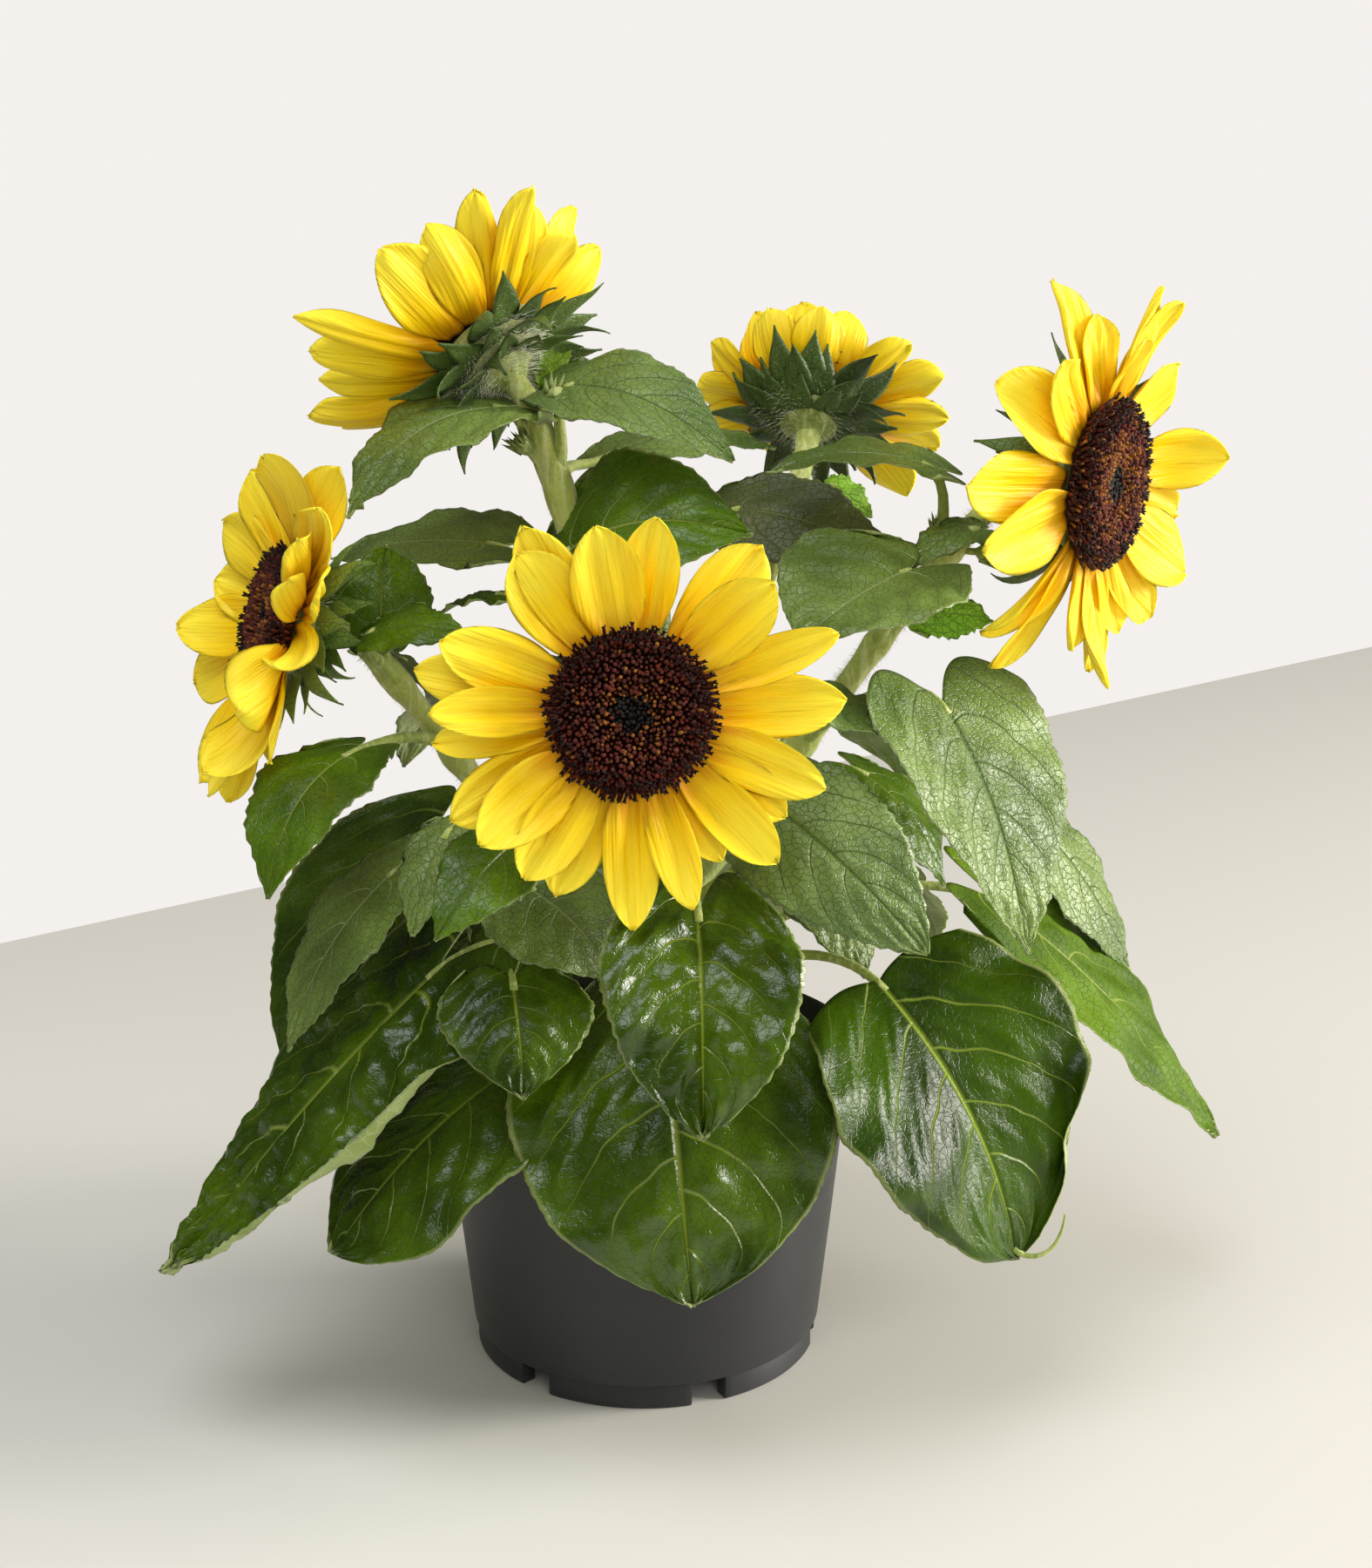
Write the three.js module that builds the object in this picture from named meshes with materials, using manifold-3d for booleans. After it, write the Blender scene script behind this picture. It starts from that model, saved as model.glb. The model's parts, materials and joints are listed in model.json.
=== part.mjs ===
// A dwarf branching sunflower in a grower pot: five blooms on five stems, and large heart-shaped leaves that
// hang over the rim. Millimetres, +Z up, the front of the plant towards -Y. The origin is the middle of the
// pot's underside, on the surface that the pot stands on.
import * as THREE from "three";
import { mergeVertices } from "three/addons/utils/BufferGeometryUtils.js";
import Module from "manifold-3d";

const wasm = await Module();
wasm.setup();

// Driving sizes
const CLEARANCE = 0.3; // gap between pieces that touch on the real plant
const UP = new THREE.Vector3(0, 0, 1);

const POT = {
  rimRadius: 85,
  bandBottom: 106,
  height: 128,
  grooveHeight: 121, // dark line under the rolled lip
  grooveDepth: 1.2,
  wallTopRadius: 81,
  wallFootRadius: 71,
  wall: 2,
  footHeight: 10,
  footRadius: 69.5,
  footWidth: 7,
  feet: 6,
  slotWidth: 14, // gap between two feet
  slotTurn: 9, // degrees from the front to the first gap
  floor: 2.5,
  padRadius: 16, // middle support, as low as the feet
  segments: 32,
};

const SOIL = { middle: 113, edge: 109, flatRadius: 16 };

const HEAD = {
  neckRadius: 5.2,
  cupHeight: 15,
  ringThickness: 3,
  dome: 8,
  dimple: 3,
  segments: 14,
  bracts: 8,
  bractStart: 0.72, // share of the disc's radius where a bract leaves the cup
  bractHeight: 9,
  bractLength: 0.72, // share of the disc's radius
  bractWidth: 11,
  bractThickness: 1.4,
  bractLean: 18, // degrees behind the rays
  footLean: 0.4, // share of its lean that a ray or bract has at its foot
  moreLean: 1.2, // and how much of it is added by its tip
  layerLean: 5, // rays stand in two layers, this many degrees to either side of the bloom's lean
  layerStep: 1.4, // and this far apart at their feet
  rayThickness: 0.8,
  rayKeel: 0.8,
  raySunk: 4, // how far a ray's foot lies inside the edge of the disc
  rayDrop: 0.2, // how far a ray's foot lies under the top of its ring
};

// Small differences between rays and bracts, each way: share of their spacing, millimetres and degrees
const VARIED = { spacing: 0.25, rayLength: 4, rayLean: 3, rayTwist: 8, bractLength: 3 };

const LEAF = {
  thickness: 1.7,
  across: 4,
  rowLength: 24, // mm of blade to a row of faces, with at least four rows
  leastRows: 4,
  lobeReach: 0.17, // how far the lobes reach behind the stalk, as a share of the length
  lobeRound: 1.3,
  lobeFade: 3, // how soon the lobes' sweep dies away along the blade
  tipHalfWidth: 0.6,
  stalkFoot: 2.5,
  stalkEnd: 1.7,
  stalkSides: 3,
  stalkSteps: 4,
  stalkRise: 0.35, // shares of its length over which a stalk leaves its stem, and arrives at its blade
  stalkArrive: 0.3,
  sunk: 5, // how far the stalk runs on into the blade
  arch: 0.12,
  fold: 10,
  droop: 0.5, // how far a blade's upper side leans out along its heading
};

const STEM = { sides: 7, steps: 9 };

// Each stem runs from its foot to the neck under its bloom, as one curve: it leaves its foot along `leave`,
// and arrives along the bloom's axis. The foot of a side stem is a share of the main stem's length.
const STEMS = {
  main: { foot: [4, 6, SOIL.middle - 6], leave: [-16, 4, 116], neck: [-48, 0, 390], arrive: 40,
          heading: -137, rise: 22, radii: [6.5, 4.4] },
  left: { foot: 0.17, leave: [-52, -8, 48], neck: [-120, -12, 300], arrive: 28,
          heading: -68, rise: 16, radii: [4.6, 4] },
  front: { foot: 0.28, leave: [2, -35, 50], neck: [-6, -98, 288], arrive: 32,
           heading: 5, rise: 8, radii: [4.6, 4.2] },
  right: { foot: 0.24, leave: [58, -4, 36], neck: [157, 1, 354], arrive: 40,
           heading: 56, rise: -3, radii: [5, 4.2] },
  back: { foot: 0.4, leave: [50, 15, 50], neck: [66, 52, 364], arrive: 30,
          heading: 170, rise: 14, radii: [4.4, 4] },
};

// Each bloom: radius of its disc; number, length and width of its rays; how many degrees they lean forward
// out of the disc's plane; sway, as [degrees, turn], where the rays at that turn lean so much more and those
// opposite so much less; and the seed of their small differences. Turns count from the bloom's right hand
// side towards its top, as seen from in front of it.
const BLOOMS = {
  main: { disc: 27, rays: 18, length: 45, width: 22, lean: 25, sway: [15, 270], seed: 3 },
  left: { disc: 24, rays: 17, length: 43, width: 25, lean: 20, sway: [14, 180], seed: 5 },
  front: { disc: 28, rays: 22, length: 46, width: 23, lean: 6, sway: [0, 0], seed: 11 },
  right: { disc: 31, rays: 19, length: 45, width: 25, lean: 2, sway: [24, 0], seed: 7 },
  back: { disc: 24, rays: 16, length: 38, width: 21, lean: 45, sway: [30, 45], seed: 13 },
};

// Where the rays of the front bloom stand, in degrees
const FRONT_TURNS = [
  1, 19, 41, 51, 82, 100, 121, 131, 157, 168, 178, 190, 213, 222, 238, 248, 270, 286, 301, 311, 325, 339,
];

// Each leaf: the stem that carries it and how far up; its stalk and its blade as [heading, rise, length],
// with the heading in degrees from the front towards the right; the width of the blade; and where they matter
// the turn about its midrib and the fold of its halves, in degrees, and the arch of its midrib, a share of
// its length. A positive fold drops the margins below the midrib.
const LEAVES = {
  apron: { stem: "main", at: 0.03, stalk: [3, 32, 104],
           blade: [8, -58, 113], width: 122, turn: 10, fold: 14, arch: 0.15 },
  cascade: { stem: "front", at: 0.45, stalk: [18, -16, 84],
             blade: [1, -56, 80], width: 72, fold: 8, arch: 0.16 },
  left_long: { stem: "main", at: 0.13, stalk: [-46, 19, 113],
               blade: [-84, -49, 156], width: 86, turn: -20, arch: 0.03 },
  left_broad: { stem: "main", at: 0.08, stalk: [-32, 10, 89],
                blade: [-67, -40, 97], width: 78, turn: -7, arch: 0.07 },
  right_broad: { stem: "main", at: 0.07, stalk: [50, 23, 122],
                 blade: [66, -61, 117], width: 140, turn: 11, fold: -10, arch: 0.13 },
  right_behind: { stem: "main", at: 0.11, stalk: [88, 18, 140],
                  blade: [100, -46, 150], width: 78, turn: 22, fold: 0, arch: 0.05 },
  right_pale: { stem: "main", at: 0.19, stalk: [105, 13, 178],
                blade: [103, -57, 80], width: 50, turn: 40, arch: 0.06 },
  left_back: { stem: "main", at: 0.06, stalk: [-99, 44, 122],
               blade: [-59, -52, 111], width: 90, turn: -22, arch: 0.13 },
  left_grey: { stem: "left", at: 0.12, stalk: [-54, 25, 102],
               blade: [-70, -57, 80], width: 50, turn: -13, fold: 2, arch: 0.1 },
  left_inner: { stem: "left", at: 0.22, stalk: [-27, 30, 103], blade: [-26, -51, 42], width: 28 },
  small_left: { stem: "front", at: 0.35, stalk: [-27, 8, 84],
                blade: [-40, -31, 51], width: 36, turn: -26, fold: 8, arch: 0.15 },
  under_bloom: { stem: "front", at: 0.25, stalk: [-31, 0, 73], blade: [61, -38, 48], width: 58, turn: 20 },
  under_left: { stem: "main", at: 0.15, stalk: [-25, 18, 115], blade: [11, -55, 44], width: 58 },
  front_right: { stem: "main", at: 0.34, stalk: [34, 26, 99],
                 blade: [54, -33, 86], width: 58, turn: 42, fold: 8, arch: 0.13 },
  right_heart: { stem: "right", at: 0.4, stalk: [47, 22, 74],
                 blade: [37, -61, 98], width: 88, turn: -4, fold: -8, arch: 0.08 },
  right_mid: { stem: "right", at: 0.25, stalk: [77, 26, 51], blade: [64, -50, 52], width: 40 },
  behind_bloom: { stem: "main", at: 0.55, stalk: [57, 11, 92],
                  blade: [67, -21, 40], width: 36, turn: 9, fold: 14, arch: 0.07 },
  right_top: { stem: "right", at: 0.6, stalk: [12, 43, 55],
               blade: [-46, -17, 63], width: 76, turn: -14, fold: -14, arch: 0.05 },
  back_long: { stem: "right", at: 0.78, stalk: [-38, 73, 38],
               blade: [-92, -3, 63], width: 46, turn: -6, fold: -2, arch: 0.11 },
  back_dark: { stem: "back", at: 0.7, stalk: [-97, 44, 25], blade: [69, -15, 72], width: 46, turn: 42 },
  right_stub: { stem: "right", at: 0.8, stalk: [31, 31, 18],
                blade: [-64, -24, 36], width: 22, turn: -17, fold: 6, arch: 0.14 },
  top_right: { stem: "main", at: 0.87, stalk: [58, 82, 34],
               blade: [65, -20, 73], width: 46, turn: 29, fold: -4, arch: 0.14 },
  top_back: { stem: "main", at: 0.85, stalk: [161, 6, 52], blade: [108, 0, 72], width: 40, turn: 14 },
  upper_big: { stem: "main", at: 0.7, stalk: [-24, 49, 27],
               blade: [74, 8, 74], width: 72, turn: 42, fold: -6, arch: 0.19 },
  top_left: { stem: "main", at: 0.83, stalk: [-80, 38, 35],
              blade: [-60, -26, 68], width: 52, turn: -8, fold: 4, arch: 0.17 },
  top_small: { stem: "main", at: 0.93, stalk: [167, 41, 23],
               blade: [34, 86, 22], width: 17, fold: 8 },
  left_upper: { stem: "main", at: 0.62, stalk: [-129, 39, 62],
                blade: [-112, -8, 75], width: 60, turn: -14, fold: -4, arch: 0.06 },
  left_fan: { stem: "left", at: 0.84, stalk: [-10, 66, 20], blade: [180, 44, 39], width: 38 },
  left_side: { stem: "left", at: 0.8, stalk: [-18, 42, 40],
               blade: [53, 5, 51], width: 26, turn: 35, arch: 0.1 },
  left_dark: { stem: "left", at: 0.6, stalk: [-134, 47, 51], blade: [90, -61, 36], width: 26 },
  left_hang: { stem: "left", at: 0.62, stalk: [-39, 12, 56],
               blade: [-36, -44, 65], width: 52, fold: 0, arch: 0.18 },
  back_low: { stem: "main", at: 0.07, stalk: [170, 26, 105], blade: [178, -52, 120], width: 100 },
  back_low_left: { stem: "main", at: 0.13, stalk: [-128, 24, 112], blade: [-122, -48, 118], width: 84 },
  back_low_right: { stem: "main", at: 0.16, stalk: [132, 26, 108], blade: [128, -50, 112], width: 82 },
  back_mid: { stem: "main", at: 0.36, stalk: [176, 28, 70], blade: [170, -36, 92], width: 68 },
  back_mid_left: { stem: "main", at: 0.45, stalk: [-140, 26, 72], blade: [-132, -38, 84], width: 60 },
  back_mid_right: { stem: "right", at: 0.3, stalk: [150, 24, 58], blade: [132, -38, 84], width: 62 },
  back_upper: { stem: "main", at: 0.6, stalk: [168, 30, 46], blade: [-170, -22, 66], width: 50 },
};

const LOOKS = {
  pot: { color: 0x2e2f31, roughness: 0.62, metalness: 0 },
  soil: { color: 0x241b15, roughness: 0.95, metalness: 0 },
  stem: { color: 0x7f9a4e, roughness: 0.7, metalness: 0 },
  leaf: { color: 0x3f5f2c, roughness: 0.5, metalness: 0 },
  cup: { color: 0x6f8a45, roughness: 0.75, metalness: 0 },
  ray: { color: 0xf2c01a, roughness: 0.6, metalness: 0 },
  disc: { color: 0x3a211c, roughness: 0.9, metalness: 0 },
};

// Small helpers
const radians = THREE.MathUtils.degToRad;

function vector(x, y, z) {
  return new THREE.Vector3(x, y, z);
}

// Unit vector from a heading in degrees, from the front towards the right, and a rise in degrees
function direction(heading, rise) {
  const h = radians(heading);
  const r = radians(rise);
  return vector(Math.sin(h) * Math.cos(r), -Math.cos(h) * Math.cos(r), Math.sin(r));
}

// Even scatter between -1 and 1 that is the same each time
function scatter(index, seed) {
  const value = index * 0.618034 + seed * 0.414214;
  return 2 * (value - Math.floor(value)) - 1;
}

function mesh(name, geometry, look) {
  const result = new THREE.Mesh(geometry, new THREE.MeshStandardMaterial(LOOKS[look]));
  result.name = name;
  return result;
}

// Solids
function indexed(points, triangles) {
  const geometry = new THREE.BufferGeometry();
  const numbers = points.flatMap((point) => point.toArray());
  geometry.setAttribute("position", new THREE.Float32BufferAttribute(numbers, 3));
  geometry.setIndex(triangles);
  return geometry;
}

function toSolid(geometry) {
  const bare = geometry.clone();
  bare.deleteAttribute("normal");
  bare.deleteAttribute("uv");
  const merged = mergeVertices(bare, 1e-3);
  const corners = merged.index.array;
  const triVerts = [];
  for (let i = 0; i < corners.length; i += 3) {
    const [a, b, c] = corners.slice(i, i + 3);
    if (a !== b && b !== c && c !== a) triVerts.push(a, b, c);
  }
  return new wasm.Manifold(new wasm.Mesh({
    numProp: 3,
    vertProperties: new Float32Array(merged.attributes.position.array),
    triVerts: new Uint32Array(triVerts),
  }));
}

function toGeometry(solid) {
  const { vertProperties, triVerts } = solid.getMesh();
  const geometry = new THREE.BufferGeometry();
  geometry.setAttribute("position", new THREE.BufferAttribute(vertProperties, 3));
  geometry.setIndex(new THREE.BufferAttribute(triVerts, 1));
  geometry.computeVertexNormals();
  return geometry;
}

// The largest body of a solid, without the scraps that a cut can leave
function largest(solid) {
  return solid.decompose().reduce((best, body) => (body.volume() > best.volume() ? body : best));
}

// Round body about Z from [radius, height] pairs, up its outside and down its inside
function turned(profile, segments) {
  const points = profile.map(([radius, height]) => new THREE.Vector2(radius, height));
  const geometry = new THREE.LatheGeometry(points, segments);
  return toSolid(geometry.rotateX(Math.PI / 2));
}

// Tapering limb of round section along a curve
function limb(curve, radii, sides, steps) {
  const frames = curve.computeFrenetFrames(steps);
  const points = [];
  const triangles = [];
  for (let step = 0; step <= steps; step++) {
    const centre = curve.getPointAt(step / steps);
    const radius = THREE.MathUtils.lerp(radii[0], radii[1], step / steps);
    for (let side = 0; side < sides; side++) {
      const angle = (side / sides) * 2 * Math.PI;
      const point = centre.clone();
      point.addScaledVector(frames.normals[step], Math.cos(angle) * radius);
      points.push(point.addScaledVector(frames.binormals[step], Math.sin(angle) * radius));
    }
  }
  const end = steps * sides;
  for (let i = 0; i < end; i++) {
    const next = i % sides === sides - 1 ? i + 1 - sides : i + 1;
    triangles.push(i, next, next + sides, i, next + sides, i + sides);
  }
  for (let i = 1; i < sides - 1; i++) {
    triangles.push(0, i + 1, i, end, end + i, end + i + 1);
  }
  return toSolid(indexed(points, triangles));
}

// Thin blade from rows of points: the margins are sharp and the rest has the given thickness
function blade(rows, thickness) {
  const across = rows[0].length;
  const inner = across - 2;
  const points = rows.flat();
  const top = (row, column) => row * across + column;
  const isMargin = (column) => column === 0 || column === across - 1;
  const under = (row, column) => {
    if (isMargin(column)) return top(row, column);
    return rows.length * across + row * inner + column - 1;
  };
  rows.forEach((row, r) => {
    const before = rows[Math.max(r - 1, 0)];
    const after = rows[Math.min(r + 1, rows.length - 1)];
    for (let c = 1; c <= inner; c++) {
      const along = after[c].clone().sub(before[c]);
      const side = row[c + 1].clone().sub(row[c - 1]);
      const normal = side.cross(along).normalize();
      points.push(row[c].clone().addScaledVector(normal, -thickness));
    }
  });
  const triangles = [];
  const face = (a, b, c) => {
    if (a !== b && b !== c && c !== a) triangles.push(a, b, c);
  };
  const quad = (a, b, c, d) => {
    face(a, b, c);
    face(a, c, d);
  };
  const last = rows.length - 1;
  for (let c = 0; c < across - 1; c++) {
    for (let r = 0; r < last; r++) {
      quad(top(r, c), top(r, c + 1), top(r + 1, c + 1), top(r + 1, c));
      quad(under(r, c), under(r + 1, c), under(r + 1, c + 1), under(r, c + 1));
    }
    quad(top(0, c), under(0, c), under(0, c + 1), top(0, c + 1));
    quad(top(last, c), top(last, c + 1), under(last, c + 1), under(last, c));
  }
  return toSolid(indexed(points, triangles));
}

// Pot and soil
function potWall() {
  const p = POT;
  const inside = p.rimRadius - p.wall;
  return turned([
    [0, p.footHeight],
    [p.wallFootRadius - 1.5, p.footHeight],
    [p.wallFootRadius, p.footHeight + 1.5],
    [p.wallTopRadius, p.bandBottom],
    [p.rimRadius - 1, p.bandBottom],
    [p.rimRadius, p.bandBottom + 1.5],
    [p.rimRadius, p.grooveHeight - 1],
    [p.rimRadius - p.grooveDepth, p.grooveHeight],
    [p.rimRadius, p.grooveHeight + 1.5],
    [p.rimRadius, p.height - 1.5],
    [p.rimRadius - 1.2, p.height],
    [inside - 1, p.height],
    [inside - 1.5, p.bandBottom + p.wall],
    [p.wallTopRadius - p.wall, p.bandBottom - 2],
    [p.wallFootRadius - p.wall, p.footHeight + p.floor],
    [0, p.footHeight + p.floor],
  ], p.segments);
}

function potFeet() {
  const p = POT;
  const ring = turned([
    [p.footRadius - p.footWidth, 0],
    [p.footRadius - 0.8, 0],
    [p.footRadius, 1],
    [p.footRadius, p.footHeight + 0.5],
    [p.footRadius - p.footWidth, p.footHeight + 0.5],
    [p.footRadius - p.footWidth, 0],
  ], p.segments);
  let feet = ring;
  for (let i = 0; i < p.feet; i++) {
    const turn = p.slotTurn + (360 / p.feet) * i;
    const middle = direction(turn, 0).multiplyScalar(p.footRadius - p.footWidth / 2);
    const slot = new THREE.BoxGeometry(p.slotWidth, p.footWidth * 3, p.footHeight);
    slot.rotateZ(radians(turn)).translate(middle.x, middle.y, p.footHeight / 2 - 2);
    feet = feet.subtract(toSolid(slot));
  }
  return feet;
}

function potPad() {
  const outline = new THREE.Shape().absarc(0, 0, POT.padRadius, 0, 2 * Math.PI);
  const depth = POT.footHeight + POT.floor / 2;
  return toSolid(new THREE.ExtrudeGeometry(outline, { depth, bevelEnabled: false, curveSegments: 6 }));
}

function pot() {
  return mesh("pot", toGeometry(potWall().add(potFeet()).add(potPad())), "pot");
}

function soil() {
  const p = POT;
  const gap = p.wall + CLEARANCE;
  const bottom = p.footHeight + p.floor + CLEARANCE;
  const body = turned([
    [0, bottom],
    [p.wallFootRadius - gap, bottom],
    [p.wallTopRadius - gap, p.bandBottom - 2],
    [p.wallTopRadius - gap, SOIL.edge],
    [(p.wallTopRadius + SOIL.flatRadius) / 2, SOIL.edge + 1.5],
    [SOIL.flatRadius, SOIL.middle],
    [0, SOIL.middle],
  ], p.segments);
  return mesh("soil", toGeometry(body), "soil");
}

// Stems
function stemCurve(name) {
  const stem = STEMS[name];
  const foot = name === "main" ? vector(...stem.foot) : stemCurve("main").getPointAt(stem.foot);
  const neck = vector(...stem.neck);
  const before = neck.clone().addScaledVector(direction(stem.heading, stem.rise), -stem.arrive);
  return new THREE.CubicBezierCurve3(foot, foot.clone().add(vector(...stem.leave)), before, neck);
}

function stemSolid(name, gap) {
  const { radii } = STEMS[name];
  return limb(stemCurve(name), radii.map((radius) => radius + gap), STEM.sides, STEM.steps);
}

// The main stem has a flat cut just over the soil, and the others start clear of the main stem
function stemBody(name) {
  const side = 4 * STEMS.main.radii[0];
  const ground = new THREE.BoxGeometry(side, side, side);
  ground.translate(STEMS.main.foot[0], STEMS.main.foot[1], SOIL.middle + CLEARANCE - side / 2);
  const cut = name === "main" ? toSolid(ground) : stemSolid("main", CLEARANCE);
  return largest(stemSolid(name, 0).subtract(cut));
}

// Blooms, each about its own axis, +Z, with its neck at the origin
// A pointed blade that stands out from the axis: `turn` is its place round the bloom, `start` the radius and
// `height` where it begins, and `lean` its rise out of the disc's plane, less at its foot and more at its tip
function standingBlade({ turn, start, height, length, width, lean, twist, keel, thickness, rows, widthAt }) {
  const angle = radians(turn);
  const outward = vector(Math.cos(angle), Math.sin(angle), 0);
  const side = vector(-Math.sin(angle), Math.cos(angle), 0);
  const centre = outward.clone().multiplyScalar(start).add(vector(0, 0, height));
  const grid = [];
  for (let row = 0; row <= rows; row++) {
    const share = row / rows;
    const slope = radians(lean * (HEAD.footLean + HEAD.moreLean * share));
    const roll = radians(twist * share);
    const normal = outward.clone().multiplyScalar(-Math.sin(slope)).addScaledVector(UP, Math.cos(slope));
    const across = side.clone().multiplyScalar(Math.cos(roll)).addScaledVector(normal, Math.sin(roll));
    const half = (width / 2) * widthAt(share);
    const middle = centre.clone().addScaledVector(normal, -keel * widthAt(share));
    grid.push([
      centre.clone().addScaledVector(across, -half),
      middle,
      centre.clone().addScaledVector(across, half),
    ].reverse());
    const forward = outward.clone().multiplyScalar(Math.cos(slope)).addScaledVector(UP, Math.sin(slope));
    centre.addScaledVector(forward, length / rows);
  }
  return blade(grid, thickness);
}

// Width of a ray along its length, as a share of its widest: from a narrower foot to a point with round sides
function rayWidth(share) {
  return Math.sin(Math.PI * (0.14 + 0.84 * share ** 0.9)) ** 0.8;
}

// Width of a bract along its length: from its full foot to a thin tip
function bractWidth(share) {
  return 0.06 + 0.94 * (1 - share) ** 0.8;
}

function leanAt(bloom, turn) {
  const [most, towards] = bloom.sway;
  return bloom.lean + most * Math.cos(radians(turn - towards));
}

function bloomCup(bloom) {
  const { disc } = bloom;
  let cup = turned([
    [0, CLEARANCE],
    [HEAD.neckRadius, CLEARANCE],
    [disc * 0.34, 3],
    [disc * 0.7, 7],
    [disc * 0.9, 12],
    [disc * 0.92, HEAD.cupHeight],
    [0, HEAD.cupHeight],
  ], HEAD.segments);
  for (let i = 0; i < HEAD.bracts; i++) {
    const turn = ((i + 0.5) * 360) / HEAD.bracts;
    cup = cup.add(standingBlade({
      turn,
      start: disc * HEAD.bractStart,
      height: HEAD.bractHeight,
      length: disc * HEAD.bractLength + VARIED.bractLength * scatter(i, bloom.seed),
      width: HEAD.bractWidth,
      lean: leanAt(bloom, turn) - HEAD.layerLean - HEAD.bractLean,
      twist: 0,
      keel: 0,
      thickness: HEAD.bractThickness,
      rows: 2,
      widthAt: bractWidth,
    }));
  }
  return cup;
}

// Where a ray stands round its bloom, in degrees
function rayTurn(bloom, i) {
  if (bloom === BLOOMS.front) return FRONT_TURNS[i];
  return ((i + VARIED.spacing * scatter(i, bloom.seed)) * 360) / bloom.rays;
}

function bloomRays(bloom) {
  const bottom = HEAD.cupHeight + CLEARANCE;
  const top = bottom + HEAD.ringThickness;
  const outer = bloom.disc - 1.5;
  const inner = bloom.disc * 0.6;
  const ring = [[inner, bottom], [outer, bottom], [outer, top], [inner, top], [inner, bottom]];
  let rays = turned(ring, HEAD.segments);
  for (let i = 0; i < bloom.rays; i++) {
    const layer = i % 2 === 0 ? 1 : -1;
    const turn = rayTurn(bloom, i);
    rays = rays.add(standingBlade({
      turn,
      start: bloom.disc - HEAD.raySunk,
      height: top - HEAD.rayDrop - (layer < 0 ? HEAD.layerStep : 0),
      length: bloom.length + HEAD.raySunk + VARIED.rayLength * scatter(i, bloom.seed + 1),
      width: bloom.width,
      lean: leanAt(bloom, turn) + HEAD.layerLean * layer + VARIED.rayLean * scatter(i, bloom.seed + 2),
      twist: VARIED.rayTwist * scatter(i, bloom.seed + 3),
      keel: HEAD.rayKeel,
      thickness: HEAD.rayThickness,
      rows: 4,
      widthAt: rayWidth,
    }));
  }
  return largest(rays);
}

function bloomDisc(bloom) {
  const bottom = HEAD.cupHeight + HEAD.ringThickness + 2 * CLEARANCE;
  const { disc } = bloom;
  return turned([
    [0, bottom],
    [disc - 5, bottom],
    [disc - 1, bottom + 2.2],
    [disc, bottom + 4],
    [disc * 0.86, bottom + HEAD.dome * 0.85],
    [disc * 0.6, bottom + HEAD.dome],
    [disc * 0.3, bottom + HEAD.dome - HEAD.dimple * 0.5],
    [0, bottom + HEAD.dome - HEAD.dimple],
  ], HEAD.segments);
}

function bloomGroup(name) {
  const bloom = BLOOMS[name];
  const { neck, heading, rise } = STEMS[name];
  const group = new THREE.Group();
  group.add(mesh(`bloom_${name}_cup`, toGeometry(bloomCup(bloom)), "cup"));
  group.add(mesh(`bloom_${name}_rays`, toGeometry(bloomRays(bloom)), "ray"));
  group.add(mesh(`bloom_${name}_disc`, toGeometry(bloomDisc(bloom)), "disc"));
  const axis = direction(heading, rise);
  const right = UP.clone().cross(axis).normalize();
  const basis = new THREE.Matrix4().makeBasis(right, axis.clone().cross(right), axis);
  group.quaternion.setFromRotationMatrix(basis);
  group.position.set(...neck);
  return group;
}

// Leaves
// Half width of a blade along its length, as a share of the widest: broad by the stalk and drawn out to a tip
function leafWidth(share) {
  return 2.2 * Math.sqrt(share + 0.08) * (1 - share) ** 0.85;
}

// Frame of a blade: where it starts, the line to its tip, its upper side and the way across
function leafFrame(leaf) {
  const { arch = LEAF.arch, turn = 0 } = leaf;
  const foot = stemCurve(leaf.stem).getPointAt(leaf.at);
  const base = foot.clone().addScaledVector(direction(leaf.stalk[0], leaf.stalk[1]), leaf.stalk[2]);
  const along = direction(leaf.blade[0], leaf.blade[1]);
  const upper = direction(leaf.blade[0], 0).multiplyScalar(LEAF.droop).add(UP);
  upper.addScaledVector(along, -upper.dot(along)).normalize().applyAxisAngle(along, radians(turn));
  const tangent = along.clone().addScaledVector(upper, 4 * arch).normalize();
  return { foot, base, along, upper, tangent, arch };
}

// Point of a blade: `share` of the way from stalk to tip, and `v` from one margin at -1 to the other at 1
function leafPoint(leaf, frame, share, v) {
  const { fold = LEAF.fold } = leaf;
  const length = leaf.blade[2];
  const half = Math.max((leaf.width / 2) * leafWidth(share), LEAF.tipHalfWidth);
  const lobe = LEAF.lobeReach * (1 - share) ** LEAF.lobeFade * Math.abs(v) ** LEAF.lobeRound;
  const run = share - lobe;
  const lift = frame.arch * 4 * run * (1 - run);
  const upper = frame.upper.clone().applyAxisAngle(frame.along, radians(fold) * Math.sign(v));
  const across = frame.along.clone().cross(upper);
  const point = frame.base.clone().addScaledVector(frame.along, run * length);
  return point.addScaledVector(frame.upper, lift * length).addScaledVector(across, v * half);
}

function leafBlade(leaf, frame) {
  const count = Math.max(LEAF.leastRows, Math.round(leaf.blade[2] / LEAF.rowLength));
  const rows = [];
  for (let r = 0; r <= count; r++) {
    const row = [];
    for (let c = 0; c <= LEAF.across; c++) {
      row.push(leafPoint(leaf, frame, r / count, (2 * c) / LEAF.across - 1));
    }
    rows.push(row);
  }
  return blade(rows, LEAF.thickness);
}

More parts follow.
